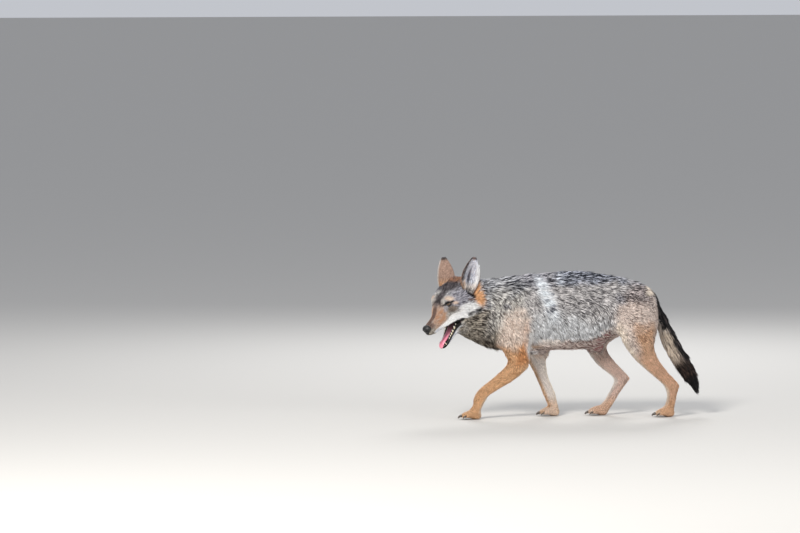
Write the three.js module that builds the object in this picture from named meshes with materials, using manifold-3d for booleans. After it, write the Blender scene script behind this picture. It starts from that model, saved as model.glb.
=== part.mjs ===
// A walking grey wolf, a lean adult female in summer coat, as a life-size still model.
// Units are millimetres. +Z is up, the wolf walks towards -X and its left side faces -Y.
// The body is one smooth field of tapering limbs and rounded masses. Each part of the body is that
// field's surface inside a region of its own, and neighbouring regions stand a thin cut apart.
import * as THREE from "three";
import { mergeVertices } from "three/addons/utils/BufferGeometryUtils.js";
import Module from "manifold-3d";

const wasm = await Module();
wasm.setup();

// ---------------------------------------------------------------- driving dimensions

const LEFT = -1; // the sign of Y on the wolf's left side
const RIGHT = 1;
const GAP = 0.35; // the thin cut between neighbouring parts
const HEAD_TURN = 38; // degrees that the head turns to the left of the walk
const HEAD_DROP = 31; // degrees that the muzzle points below level
const HEAD_ROLL = 2; // degrees that the head leans over to its right
const EYE_LEVEL = [-512, -75, 487]; // the point midway between the eyes
const GAPE = 24; // degrees that the jaw hangs open
const EYE_RADIUS = 12;
const EYE_MIDDLE = [-1, 36, 1]; // the middle of an eyeball, in the head's frame
const EAR_WIDTH = 43; // half the ear's width at its widest
const MOUTH_CORNER = [-16, 0, -87]; // in the head's frame
const LIP_RADIUS = 5; // of the rounded corner of the mouth
const UPPER_LIP_SLOPE = 5.5; // degrees that the upper lip rises towards the nose
const LOWER_LIP_SLOPE = -GAPE - 4; // degrees that the lower lip rises, once the jaw hangs open
const CLAW_LENGTH = 19;
const CLAW_RADIUS = 3.6;
const CLAW_HEIGHT = 16; // of a claw's root above the floor
const TOE_SPREAD = 17; // between the middles of two neighbouring toes
const TOE_FAN = 1.05; // how much further apart the tips of the toes are

// How wide the fillets are where the masses of the body meet.
const FILLET = {
  neck: 60,
  ruff: 50,
  tail: 26,
  leg: 36,
  shank: 16,
  foot: 12,
  toe: 6,
  head: 40,
  face: 18,
  socket: 8,
  jaw: 10,
  nose: 6,
  nostril: 3,
};

const COLOURS = {
  coat: 0x8b8781,
  leg: 0xb98a5c,
  ear: 0x9a8068,
  tail: 0x6a635c,
  nose: 0x1c1b1d,
  eye: 0x4a2f18,
  tongue: 0xc46a7c,
  jaw: 0xb9b3aa,
  claw: 0x2c2825,
};

// ---------------------------------------------------------------- small vector helpers

const degrees = (angle) => (angle * Math.PI) / 180;
const vector = (list) => new THREE.Vector3(...list);
const mix = (a, b, t) => a + (b - a) * t;

// Two distances joined with a fillet about as wide as reach.
function smoothMin(a, b, reach) {
  const overlap = Math.max(reach - Math.abs(a - b), 0) / reach;
  return Math.min(a, b) - overlap * overlap * reach * 0.25;
}

// The mirror image of smoothMin: cuts the distance b out of a with a rounded edge.
const smoothCut = (a, b, reach) => -smoothMin(-a, b, reach);

// ---------------------------------------------------------------- frames of the head and the jaw

// Axes of the head: forward along the muzzle, to the wolf's left, and up.
function headAxes() {
  const turn = degrees(HEAD_TURN);
  const drop = degrees(HEAD_DROP);
  const roll = degrees(HEAD_ROLL);
  const level = new THREE.Vector3(-Math.cos(turn), -Math.sin(turn), 0);
  const sideways = new THREE.Vector3(Math.sin(turn), -Math.cos(turn), 0);
  const up = new THREE.Vector3(0, 0, 1);
  const forward = level.clone().multiplyScalar(Math.cos(drop)).addScaledVector(up, -Math.sin(drop));
  const upright = up.clone().multiplyScalar(Math.cos(drop)).addScaledVector(level, Math.sin(drop));
  const left = sideways.clone().multiplyScalar(Math.cos(roll)).addScaledVector(upright, Math.sin(roll));
  const crown = new THREE.Vector3().crossVectors(forward, left);
  return new THREE.Matrix4().makeBasis(forward, left, crown).setPosition(vector(EYE_LEVEL));
}

// In the head's frame X is forward, Y is to the wolf's left and Z is up, from the point between the eyes.
const HEAD = headAxes();
const HEAD_INVERSE = HEAD.clone().invert();

// The jaw turns about its joint under the ears, and its own frame is the head's with the mouth shut.
const JAW_JOINT = [-62, 0, -52];
const JAW_SWING = new THREE.Matrix4()
  .makeTranslation(...JAW_JOINT)
  .multiply(new THREE.Matrix4().makeRotationY(degrees(GAPE)))
  .multiply(new THREE.Matrix4().makeTranslation(...JAW_JOINT.map((value) => -value)));
const JAW_SWING_INVERSE = JAW_SWING.clone().invert();

// ---------------------------------------------------------------- shapes of the field

// A limb of oval section that tapers from station to station along a smooth line.
// A station is [x, y, z, deep, wide]: wide is the half width along side, deep is square to it.
function limb(side, stations, { cap = 0 } = {}) {
  const STEPS = 4; // lengths between two stations
  const BEYOND = 50; // outside this margin the distance is only rough
  const last = stations.length - 1;
  const at = (index) => stations[Math.min(Math.max(index, 0), last)];
  const points = [];
  for (let i = 0; i < last; i++) {
    const near = [at(i - 1), at(i), at(i + 1), at(i + 2)];
    for (let step = 0; step < STEPS; step++) {
      points.push(at(i).map((_, axis) => smoothBetween(near.map((station) => station[axis]), step / STEPS)));
    }
  }
  points.push(stations[last]);
  const pieces = points.slice(1).map((end, i) => piece(points[i], end, vector(side), cap));
  const reach = Math.max(...stations.flatMap((station) => station.slice(3))) + BEYOND;
  const middles = stations.map((station) => vector(station.slice(0, 3)));
  const box = new THREE.Box3().setFromPoints(middles).expandByScalar(reach);
  return (x, y, z) => {
    const far = box.distanceToPoint(new THREE.Vector3(x, y, z));
    if (far > 0) return far + BEYOND;
    let least = Infinity;
    for (const one of pieces) least = Math.min(least, one(x, y, z));
    return least;
  };
}

// Catmull-Rom: the value at share t of the way from b to c.
function smoothBetween([a, b, c, d], t) {
  const slope0 = (c - a) / 2;
  const slope1 = (d - b) / 2;
  const t2 = t * t;
  const t3 = t2 * t;
  return (2 * t3 - 3 * t2 + 1) * b + (t3 - 2 * t2 + t) * slope0 + (3 * t2 - 2 * t3) * c + (t3 - t2) * slope1;
}

// One short straight length of a limb.
function piece(start, end, side, cap) {
  const a = vector(start.slice(0, 3));
  const along = vector(end.slice(0, 3)).sub(a);
  const length = along.length();
  along.normalize();
  const deepAxis = new THREE.Vector3().crossVectors(along, side).normalize();
  const wideAxis = new THREE.Vector3().crossVectors(deepAxis, along);
  return (x, y, z) => {
    const dx = x - a.x;
    const dy = y - a.y;
    const dz = z - a.z;
    const run = dx * along.x + dy * along.y + dz * along.z;
    const t = Math.min(Math.max(run / length, 0), 1);
    const deep = mix(start[3], end[3], t);
    const wide = mix(start[4], end[4], t);
    return ovalDistance(
      dx * deepAxis.x + dy * deepAxis.y + dz * deepAxis.z,
      dx * wideAxis.x + dy * wideAxis.y + dz * wideAxis.z,
      run - t * length,
      deep,
      wide,
      cap || Math.min(deep, wide),
    );
  };
}

// About how far a point lies outside an ellipsoid with these half sizes.
function ovalDistance(x, y, z, a, b, c) {
  const near = Math.hypot(x / a, y / b, z / c);
  const slope = Math.hypot(x / (a * a), y / (b * b), z / (c * c));
  return slope < 1e-9 ? -Math.min(a, b, c) : (near * (near - 1)) / slope;
}

const blob = ([cx, cy, cz], [a, b, c]) => (x, y, z) => ovalDistance(x - cx, y - cy, z - cz, a, b, c);

// Several shapes melted into one.
function melt(reach, ...shapes) {
  const [first, ...others] = shapes;
  return (x, y, z) => others.reduce((sum, shape) => smoothMin(sum, shape(x, y, z), reach), first(x, y, z));
}

// A shape with hollows cut into it, each with an edge rounded about as wide as reach.
const without = (shape, hollows, reach) => (x, y, z) =>
  hollows.reduce((sum, hollow) => smoothCut(sum, hollow(x, y, z), reach), shape(x, y, z));

// A shape given in another frame.
function inFrame(inverse, shape) {
  const e = inverse.elements;
  return (x, y, z) =>
    shape(
      e[0] * x + e[4] * y + e[8] * z + e[12],
      e[1] * x + e[5] * y + e[9] * z + e[13],
      e[2] * x + e[6] * y + e[10] * z + e[14],
    );
}

// ---------------------------------------------------------------- trunk, neck and tail

const ACROSS = [0, 1, 0];

const trunk = limb(
  ACROSS,
  [
    [-215, 0, 440, 140, 80],
    [-130, 0, 445, 158, 94],
    [-30, 0, 447, 165, 101],
    [60, 0, 449, 167, 101],
    [140, 0, 457, 160, 91],
    [210, 0, 474, 130, 82],
    [275, 0, 484, 102, 80],
    [330, 0, 487, 78, 68],
    [362, 0, 492, 50, 50],
  ],
  { cap: 42 },
);

const neck = limb(ACROSS, [
  [-175, 0, 470, 112, 74],
  [-250, 0, 450, 134, 80],
  [-320, -4, 454, 132, 78],
  [-385, -8, 470, 114, 72],
  [-425, -8, 490, 86, 64],
]);

// The long hair of the throat and breast.
const ruff = limb(ACROSS, [
  [-396, -12, 408, 42, 44],
  [-345, -6, 380, 54, 54],
  [-280, 0, 358, 58, 56],
]);

const TAIL_LINE = [
  [387, 0, 479, 29, 27],
  [425, 0, 412, 29, 28],
  [453, 0, 350, 33, 31],
  [480, 0, 292, 36, 33],
  [513, 0, 238, 34, 31],
  [545, 0, 186, 29, 26],
  [567, 0, 146, 18, 17],
];
const tail = limb(ACROSS, [[342, 0, 516, 34, 32], ...TAIL_LINE, [575, 0, 122, 7, 7]], { cap: 7 });

// ---------------------------------------------------------------- legs

// Each leg's stations run from the body to the foot, in three lengths: upper, lower and foot.
// Y is the distance from the middle of the body, and each leg takes its own side.
const LEGS = {
  fore_left: {
    side: LEFT,
    paw: [-378, 52],
    fore: true,
    front: [[-312, 0, 440], [1, 0, 0]],
    back: [[-108, 0, 400], [-1, 0, 0]],
    upper: [
      [-168, 52, 520, 50, 30],
      [-222, 65, 450, 62, 36],
      [-232, 71, 385, 66, 38],
      [-205, 72, 315, 58, 36],
      [-184, 69, 258, 47, 32],
    ],
    lower: [
      [-180, 68, 240, 43, 30],
      [-222, 64, 193, 35, 26],
      [-278, 59, 152, 27, 23],
      [-328, 55, 116, 24, 22],
      [-347, 53, 92, 24, 23],
    ],
    foot: [
      [-350, 53, 84, 23, 22],
      [-359, 52, 54, 19, 21],
      [-368, 52, 32, 19, 24],
    ],
  },
  fore_right: {
    side: RIGHT,
    paw: [-30, 52],
    fore: true,
    front: [[-285, 0, 440], [1, 0, 0]],
    back: [[-50, 0, 270], [-0.98, 0, -0.196]],
    upper: [
      [-168, 52, 520, 50, 30],
      [-206, 65, 450, 62, 36],
      [-190, 71, 385, 64, 38],
      [-140, 72, 320, 54, 36],
      [-98, 69, 268, 42, 32],
    ],
    lower: [
      [-92, 68, 248, 39, 29],
      [-74, 64, 190, 28, 25],
      [-60, 59, 148, 24, 22],
      [-45, 55, 112, 24, 22],
      [-38, 54, 96, 24, 23],
    ],
    foot: [
      [-34, 53, 84, 23, 22],
      [-22, 52, 54, 20, 21],
      [-18, 52, 32, 19, 24],
    ],
  },
  hind_left: {
    side: LEFT,
    paw: [442, 56],
    fore: false,
    front: [[212, 0, 430], [1, 0, 0]],
    back: [[540, 0, 430], [-1, 0, 0]],
    upper: [
      [325, 50, 500, 76, 38],
      [315, 66, 430, 90, 44],
      [318, 74, 370, 84, 44],
      [322, 77, 318, 66, 38],
    ],
    lower: [
      [330, 77, 298, 58, 34],
      [362, 74, 244, 40, 29],
      [398, 70, 202, 31, 24],
      [436, 66, 164, 26, 20],
      [462, 63, 138, 25, 19],
    ],
    foot: [
      [464, 62, 128, 25, 19],
      [466, 60, 88, 21, 18],
      [460, 58, 52, 19, 20],
      [450, 56, 30, 19, 24],
    ],
    heel: [484, 63, 132],
  },
  hind_right: {
    side: RIGHT,
    paw: [176, 56],
    fore: false,
    front: [[112, 0, 300], [0.905, 0, -0.424]],
    back: [[540, 0, 430], [-1, 0, 0]],
    upper: [
      [325, 50, 500, 76, 38],
      [278, 66, 440, 80, 44],
      [222, 74, 382, 66, 42],
      [176, 77, 334, 49, 36],
    ],
    lower: [
      [160, 77, 304, 44, 33],
      [184, 74, 250, 36, 28],
      [218, 69, 212, 30, 23],
      [252, 65, 180, 26, 20],
      [275, 62, 156, 25, 19],
    ],
    foot: [
      [268, 62, 140, 25, 19],
      [244, 60, 98, 20, 18],
      [220, 58, 56, 19, 20],
      [200, 56, 32, 19, 24],
    ],
    heel: [296, 62, 157],
  },
};

const sided = (stations, side) => stations.map(([x, y, z, deep, wide]) => [x, y * side, z, deep, wide]);

// How far ahead of the paw's middle the tip of a toe is.
const toeReach = (i, fore) => (Math.abs(i - 1.5) < 1 ? 50 : 34) * (fore ? 1 : 0.95);

// The four toes and pads of a foot that stands at (x, y), pointing forward.
function toes({ paw: [x, y], side, fore }) {
  const heelPad = blob([x + 12, y * side, 15], [26, 25, 19]);
  const instep = blob([x - 2, y * side, 22], [26, 27, 18]);
  const shapes = [heelPad, instep];
  for (let i = 0; i < 4; i++) {
    const across = (i - 1.5) * TOE_SPREAD;
    const reach = toeReach(i, fore);
    shapes.push(
      limb(
        ACROSS,
        [
          [x + 4, y * side + across * 0.6, 22, 12, 11],
          [x - reach * 0.6, y * side + across * 0.95, 20, 12.5, 10],
          [x - reach, y * side + across * TOE_FAN, 9, 9, 8.5],
        ],
        { cap: 9 },
      ),
    );
  }
  return melt(FILLET.toe, ...shapes);
}

function legShape(leg) {
  const lengths = [leg.upper, leg.lower, leg.foot].map((stations) => limb(ACROSS, sided(stations, leg.side)));
  const heel = leg.heel && blob([leg.heel[0], leg.heel[1] * leg.side, leg.heel[2]], [15, 13, 21]);
  const shank = melt(FILLET.shank, ...lengths, ...(heel ? [heel] : []));
  return melt(FILLET.foot, shank, toes(leg));
}

const legShapes = Object.fromEntries(Object.entries(LEGS).map(([name, leg]) => [name, legShape(leg)]));

function body(x, y, z) {
  let distance = smoothMin(trunk(x, y, z), neck(x, y, z), FILLET.neck);
  distance = smoothMin(distance, ruff(x, y, z), FILLET.ruff);
  distance = smoothMin(distance, tail(x, y, z), FILLET.tail);
  for (const leg of Object.values(legShapes)) distance = smoothMin(distance, leg(x, y, z), FILLET.leg);
  return distance;
}

// ---------------------------------------------------------------- head, in its own frame

const both = (make) => [make(LEFT), make(RIGHT)];

const skull = limb(
  ACROSS,
  [
    [18, 0, -14, 33, 38],
    [-22, 0, -8, 41, 54],
    [-70, 0, -9, 48, 62],
    [-112, 0, -10, 56, 60],
    [-142, 0, -20, 50, 52],
  ],
  { cap: 40 },
);

const muzzle = limb(
  ACROSS,
  [
    [-8, 0, -36, 41, 38],
    [35, 0, -42, 36, 31],
    [80, 0, -46, 31, 25],
    [112, 0, -46, 27, 22],
    [126, 0, -46, 23, 19],
  ],
  { cap: 10 },
);

const temples = both((side) => blob([-62, 42 * side, 8], [52, 28, 35]));
const cheeks = both((side) => blob([-62, 46 * side, -44], [54, 36, 46]));
const brows = both((side) => blob([-8, 36 * side, 20], [28, 19, 14]));
const earRoots = both((side) => blob([-126, 34 * side, 22], [26, 22, 28]));
const lips = both((side) =>
  limb(ACROSS, [
    [124, 10 * side, -60, 10, 9],
    [80, 19 * side, -66, 12, 10],
    [20, 33 * side, -76, 15, 12],
    [-20, 40 * side, -84, 18, 15],
  ]),
);
const throat = limb(ACROSS, [
  [-50, 0, -74, 42, 46],
  [-100, 0, -66, 58, 58],
  [-150, 0, -40, 60, 58],
]);

const jawBone = limb(
  ACROSS,
  [
    [-50, 0, -84, 27, 42],
    [0, 0, -88, 22, 35],
    [60, 0, -86, 16, 26],
    [104, 0, -83, 13, 20],
    [122, 0, -81, 11, 15],
  ],
  { cap: 9 },
);

// Eye sockets are shallow bowls, so that the eyes sit behind the brow.
const sockets = both((side) => blob([13, 52 * side, 1], [17, 12, 10]));

const masses = [skull, muzzle, ...temples, ...cheeks, ...brows, ...earRoots, ...lips, throat];
const upperHead = without(melt(FILLET.face, ...masses), sockets, FILLET.socket);
const lowerJaw = inFrame(JAW_SWING_INVERSE, jawBone);
const wholeHead = inFrame(HEAD_INVERSE, melt(FILLET.jaw, upperHead, lowerJaw));
const wholeBody = melt(FILLET.head, body, wholeHead);

const nosePad = melt(FILLET.nose, blob([130, 0, -38], [17, 21, 16]), blob([133, 0, -53], [12, 10, 15]));
const nostrils = both((side) => blob([147, 10.5 * side, -41], [9, 5, 4.5]));
const noseShape = without(nosePad, nostrils, FILLET.nostril);

const tongueShape = limb(
  ACROSS,
  [
    [14, 0, -72, 9, 19],
    [50, 0, -74, 9, 14.5],
    [90, 0, -73, 7, 11.5],
    [112, 0, -72, 6, 11],
    [124, 0, -75, 4.5, 8],
  ],
  { cap: 5 },
);

// ---------------------------------------------------------------- meshing

// A closed skin over rings of points, each anticlockwise as seen from the last ring's end.
// Each end is closed by a strip that runs back and forth across the ring.
function closedRings(rings) {
  const count = rings[0].length;
  const last = (rings.length - 1) * count;
  const triangles = [];
  for (let start = 0; start < last; start += count)
    for (let i = 0; i < count; i++) {
      const a = start + i;
      const b = start + ((i + 1) % count);
      triangles.push(a, b, b + count, a, b + count, a + count);
    }
  for (let i = 0; i + 1 <= count - 2 - i; i++) {
    const ends = [i, i + 1, count - 2 - i, count - 1 - i];
    if (ends[1] === ends[2]) ends.splice(2, 1);
    for (let k = 1; k < ends.length - 1; k++) {
      triangles.push(ends[0], ends[k + 1], ends[k]);
      triangles.push(last + ends[0], last + ends[k], last + ends[k + 1]);
    }
  }
  return geometryOf(rings.flat().flatMap((point) => point.toArray()), triangles);
}

// A closed tube round a path, with each corner drawn out from the path to the field's surface.
function tubeOf(field, path, sides, most) {
  const SPAN = 2; // rings before and after that set a ring's lean, so that it doesn't fold in a bend
  const rings = path.map((point, ring) => {
    const along = runOf(path, ring, SPAN);
    const wide = new THREE.Vector3(0, 1, 0).addScaledVector(along, -along.y).normalize();
    const deep = new THREE.Vector3().crossVectors(along, wide);
    return Array.from({ length: sides }, (_, i) => {
      const angle = (i / sides) * 2 * Math.PI;
      const ray = wide.clone().multiplyScalar(Math.cos(angle)).addScaledVector(deep, Math.sin(angle));
      return point.clone().addScaledVector(ray, reachAlong(field, point, ray, most));
    });
  });
  return closedRings(rings);
}

// The direction of a path at one of its points, from the points a span before and after.
function runOf(path, index, span) {
  const ahead = path[Math.min(index + span, path.length - 1)];
  const behind = path[Math.max(index - span, 0)];
  return ahead.clone().sub(behind).normalize();
}

// How far a ray runs inside the field before it comes out, up to most.
function reachAlong(field, point, ray, most) {
  const STRIDE = 5;
  const at = (run) => field(point.x + ray.x * run, point.y + ray.y * run, point.z + ray.z * run);
  let run = STRIDE;
  while (run < most && at(run) < 0) run += STRIDE;
  if (run >= most) return most;
  let inside = run - STRIDE;
  for (let i = 0; i < 12; i++) {
    const half = (inside + run) / 2;
    if (at(half) < 0) inside = half;
    else run = half;
  }
  return run;
}

// Points about a step apart along a smooth line through some stations.
function pathThrough(stations, step) {
  const curve = new THREE.CatmullRomCurve3(stations.map((station) => vector(station.slice(0, 3))));
  return curve.getSpacedPoints(Math.round(curve.getLength() / step));
}

// Grid lines from low to high about a cell apart, or a finer cell beyond a place called from.
function lines(low, high, cell, finer = cell, from = high) {
  const places = [];
  for (let at = low; at < high + cell; at += at < from ? cell : finer) places.push(at);
  return places;
}

const grid = (low, high, cell) => low.map((value, axis) => lines(value, high[axis], cell[axis]));

// Surface nets: one vertex in each cell that the surface crosses, drawn onto the surface itself.
function surfaceOf(field, [xs, ys, zs]) {
  const count = [xs.length, ys.length, zs.length];
  const [nx, ny, nz] = count;
  const values = new Float32Array(nx * ny * nz);
  const index = (i, j, k) => (k * ny + j) * nx + i;
  const inner = (i, n) => i > 0 && i < n - 1;
  for (let k = 0; k < nz; k++)
    for (let j = 0; j < ny; j++)
      for (let i = 0; i < nx; i++) {
        const open = inner(i, nx) && inner(j, ny) && inner(k, nz);
        values[index(i, j, k)] = open ? field(xs[i], ys[j], zs[k]) || 1e-4 : 1;
      }
  const between = (places, at) => mix(places[Math.floor(at)], places[Math.floor(at) + 1] ?? 0, at % 1);
  const vertices = [];
  const cellVertex = new Int32Array(nx * ny * nz).fill(-1);
  for (let k = 0; k < nz - 1; k++)
    for (let j = 0; j < ny - 1; j++)
      for (let i = 0; i < nx - 1; i++) {
        const point = crossingMean(values, index, i, j, k);
        if (!point) continue;
        const world = [between(xs, point[0]), between(ys, point[1]), between(zs, point[2])];
        const cell = Math.min(xs[i + 1] - xs[i], ys[j + 1] - ys[j], zs[k + 1] - zs[k]);
        cellVertex[index(i, j, k)] = vertices.length / 3;
        vertices.push(...drawnOnto(field, world, cell));
      }
  return geometryOf(vertices, quadsBetween(values, cellVertex, index, count));
}

// The mean of the points where a cell's edges cross the surface, in cells, or null.
function crossingMean(values, index, i, j, k) {
  const sum = [0, 0, 0];
  let crossings = 0;
  for (let axis = 0; axis < 3; axis++)
    for (let corner = 0; corner < 4; corner++) {
      const a = [i, j, k];
      a[(axis + 1) % 3] += corner & 1;
      a[(axis + 2) % 3] += corner >> 1;
      const b = a.slice();
      b[axis] += 1;
      const va = values[index(...a)];
      const vb = values[index(...b)];
      if (va < 0 === vb < 0) continue;
      a[axis] += va / (va - vb);
      for (let n = 0; n < 3; n++) sum[n] += a[n];
      crossings++;
    }
  return crossings ? sum.map((value) => value / crossings) : null;
}

// Moves a point down the field's slope onto the surface, by less than half a cell.
function drawnOnto(field, point, cell) {
  const STEP = 0.5;
  const [x, y, z] = point;
  const value = field(x, y, z);
  const slope = [
    (field(x + STEP, y, z) - value) / STEP,
    (field(x, y + STEP, z) - value) / STEP,
    (field(x, y, z + STEP) - value) / STEP,
  ];
  const steep = slope.reduce((sum, s) => sum + s * s, 0);
  if (Math.abs(value) > cell || steep < 0.05) return point;
  const move = Math.max(Math.min(value / steep, cell * 0.45), -cell * 0.45);
  return point.map((coordinate, axis) => coordinate - slope[axis] * move);
}

// Two triangles for every grid edge that crosses the surface, between the four cells round it.
function quadsBetween(values, cellVertex, index, [nx, ny, nz]) {
  const triangles = [];
  for (let k = 0; k < nz - 1; k++)
    for (let j = 0; j < ny - 1; j++)
      for (let i = 0; i < nx - 1; i++)
        for (let axis = 0; axis < 3; axis++) {
          const end = [i, j, k];
          end[axis] += 1;
          const inside = values[index(i, j, k)] < 0;
          if (inside === values[index(...end)] < 0) continue;
          const back = [0, 0, 0];
          const down = [0, 0, 0];
          back[(axis + 1) % 3] = 1;
          down[(axis + 2) % 3] = 1;
          const cell = (p, q) => [i, j, k].map((value, n) => value - p * back[n] - q * down[n]);
          const at = (p, q) => cellVertex[index(...cell(p, q))];
          const ring = [at(0, 0), at(1, 0), at(1, 1), at(0, 1)];
          if (!inside) ring.reverse();
          triangles.push(ring[0], ring[1], ring[2], ring[0], ring[2], ring[3]);
        }
  return triangles;
}

function geometryOf(vertices, triangles) {
  const geometry = new THREE.BufferGeometry();
  geometry.setAttribute("position", new THREE.Float32BufferAttribute(vertices, 3));
  geometry.setIndex(triangles);
  return geometry;
}

// ---------------------------------------------------------------- solids

// A copy with places only, and one vertex at each place.
function mergedCopy(geometry) {
  const bare = geometry.clone();
  bare.deleteAttribute("normal");
  bare.deleteAttribute("uv");
  return mergeVertices(bare, 1e-4);
}

function solidOf(geometry, matrix) {
  const merged = mergedCopy(geometry);
  if (matrix) merged.applyMatrix4(matrix);
  const vertProperties = merged.attributes.position.array;
  const triVerts = new Uint32Array(merged.index.array);
  return new wasm.Manifold(new wasm.Mesh({ numProp: 3, vertProperties, triVerts }));
}

function geometryFrom(solid) {
  const mesh = solid.getMesh();
  const geometry = new THREE.BufferGeometry();
  const positions = new Float32Array(mesh.numVert * 3);
  for (let i = 0; i < mesh.numVert; i++) {
    const start = i * mesh.numProp;
    positions.set(mesh.vertProperties.subarray(start, start + 3), i * 3);
  }
  geometry.setAttribute("position", new THREE.BufferAttribute(positions, 3));
  geometry.setIndex(new THREE.BufferAttribute(mesh.triVerts, 1));
  geometry.computeVertexNormals();
  return geometry;
}

// A big block with one face through a point, that takes in all on the side that the normal points to.
function halfSpace(point, normal, shift = 0) {
  const SPAN = 2400;
  const direction = vector(normal).normalize();
  const turn = new THREE.Quaternion().setFromUnitVectors(new THREE.Vector3(1, 0, 0), direction);
  const centre = vector(point).addScaledVector(direction, SPAN / 2 + shift);
  const matrix = new THREE.Matrix4().compose(centre, turn, new THREE.Vector3(1, 1, 1));
  return solidOf(new THREE.BoxGeometry(SPAN, SPAN, SPAN), matrix);
}

// What lies on the inner side of every one of these faces, each a point and a normal pointing in.
function region(faces, grow = 0) {
  return wasm.Manifold.intersection(faces.map(([point, normal]) => halfSpace(point, normal, -grow)));
}

// The same surface with every face moved out by at least this much, for the socket that a part sits in.
function grown(geometry, by) {
  const wide = mergedCopy(geometry);
  const { position } = wide.attributes;
  const facing = Array.from({ length: position.count }, () => []);
  const corner = (i) => new THREE.Vector3().fromBufferAttribute(position, i);
  for (let t = 0; t < wide.index.count; t += 3) {
    const [a, b, c] = [0, 1, 2].map((n) => wide.index.getX(t + n));
    const edges = [b, c].map((other) => corner(other).sub(corner(a)));
    const normal = new THREE.Vector3().crossVectors(...edges).normalize();
    for (const i of [a, b, c]) {
      const known = facing[i].some((other) => other.dot(normal) > 0.97);
      if (!known) facing[i].push(normal);
    }
  }
  facing.forEach((normals, i) => {
    const mean = normals.reduce((sum, normal) => sum.add(normal), new THREE.Vector3()).normalize();
    const least = Math.min(...normals.map((normal) => normal.dot(mean)));
    const moved = corner(i).addScaledVector(mean, by / Math.max(least, 0.15));
    position.setXYZ(i, moved.x, moved.y, moved.z);
  });
  return wide;
}

// ---------------------------------------------------------------- where the parts meet

const LEG_TOP = 546;
const KNEE = { fore: 250, hind: 280 }; // the heights at which the upper and lower legs meet
const ANKLE = 50;
const HALF_TAIL = 48;
const HALF_JAW = 50;
const JAW_BOTTOM = -118; // the height below which the throat begins, in the jaw's frame

// A level face, and the side of it that is kept.
const level = (height, upward) => [[0, 0, height], [0, 0, upward ? 1 : -1]];

const flipped = ([point, normal]) => [point, normal.map((value) => -value)];

// A face given in another frame.
function faceIn(frame, [point, normal]) {
  const turned = vector(normal).transformDirection(frame);
  return [vector(point).applyMatrix4(frame).toArray(), turned.toArray()];
}

const NECK_FACE = [[-225, 0, 445], [-0.9, 0, 0.435]]; // points from the trunk to the neck
const HEAD_FACE = [[-400, 12, 500], [-0.785, -0.616, 0.06]]; // points from the neck to the head

const TAIL_FACES = [
  [[392, 0, 500], [0.993, 0, 0.119]],
  [[0, -HALF_TAIL, 0], [0, 1, 0]],
  [[0, HALF_TAIL, 0], [0, -1, 0]],
];

// The faces round a whole leg. The inner one slants, so that the leg takes in its shoulder or thigh.
function legFaces({ side, fore, front, back }) {
  const slanted = fore
    ? [[0, 25 * side, 270], [0, 0.981 * side, -0.193]]
    : [[0, 40 * side, 290], [0, 0.992 * side, -0.125]];
  const upright = [[0, 2 * side, 0], [0, side, 0]];
  return [slanted, upright, front, back, level(LEG_TOP, false)];
}

// ---------------------------------------------------------------- spikes: claws and teeth

const SPIKE_FLATNESS = 0.85; // claws and teeth are a little thinner from side to side

// A closed tapering spike round a bent line in the plane square to Y.
function spike(points, radii, sides) {
  const across = new THREE.Vector3(0, 1, 0);
  const rings = points.map((point, ring) => {
    const outward = new THREE.Vector3().crossVectors(runOf(points, ring, 1), across).normalize();
    return Array.from({ length: sides }, (_, i) => {
      const angle = (i / sides) * 2 * Math.PI;
      const corner = point.clone().addScaledVector(across, Math.cos(angle) * radii[ring] * SPIKE_FLATNESS);
      return corner.addScaledVector(outward, Math.sin(angle) * radii[ring]);
    });
  });
  return closedRings(rings);
}

// A claw that leaves the front of a toe and bends down towards the floor.
function claw(x, y, z) {
  const points = [new THREE.Vector3(x, y, z)];
  for (const droop of [28, 55]) {
    const run = CLAW_LENGTH / 2;
    const step = new THREE.Vector3(-Math.cos(degrees(droop)) * run, 0, -Math.sin(degrees(droop)) * run);
    points.push(points[points.length - 1].clone().add(step));
  }
  return spike(points, [CLAW_RADIUS, CLAW_RADIUS, 0.8], 4);
}

// Teeth as [x, y, height, thickness], from the cheek teeth to the incisors of one side.
const LOWER_TEETH = [
  [24, 26, 10, 5.6],
  [46, 23, 9, 5],
  [67, 20, 8, 4.5],
  [88, 17, 7, 4],
  [108, 14.5, 17, 3.8],
  [118, 9, 6, 2.8],
  [122, 3.4, 6, 2.8],
];
const UPPER_TEETH = [
  [40, 25, 9, 5],
  [66, 21.5, 7, 4.4],
  [90, 18.5, 6, 3.8],
  [112, 15, 16, 3.8],
  [123, 9.5, 5, 2.8],
  [126, 3.4, 5, 2.8],
];

// Both sides' teeth, each rooted a little way inside the surface whose height is ground(x).
function teeth(rows, ground, upward) {
  const ROOT = 7;
  const POINT = 0.9;
  const solids = rows.flatMap(([x, y, height, thick]) =>
    both((side) => {
      const at = (reach, lean) => new THREE.Vector3(x - lean, y * side, ground(x) + reach * upward);
      const isFang = height > 12;
      return solidOf(spike([at(-ROOT, -1), at(height, 1.5)], [thick, POINT], isFang ? 5 : 3));
    }),
  );
  return wasm.Manifold.union(solids);
}

// ---------------------------------------------------------------- ears

const EAR_ROOT = [-98, 66, -18]; // the notch under an ear: forward, outward and up in the head's frame
const EAR_OUTLINE = [0.34, 0.72, 0.95, 1, 0.95, 0.82, 0.57, 0.18]; // shares of EAR_WIDTH, from root to tip
const EAR_CURL = { root: 105, tip: 34, share: 1.15 }; // degrees that the leaf curls to each side
const EAR_THICK = { root: 5, tip: 2.6 };
const EAR_BOW = 5;
const EAR_STEPS = 6; // lengths round the hollow of the ear

// Each ear's tip, and the way that its hollow faces. The right ear is turned back.
const EARS = {
  left: { side: 1, tip: [-182, 98, 114], faces: [0.5, 0.84, -0.17] },
  right: { side: -1, tip: [-179, 78, 113], faces: [-0.18, 0.96, -0.1] },
};

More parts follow.
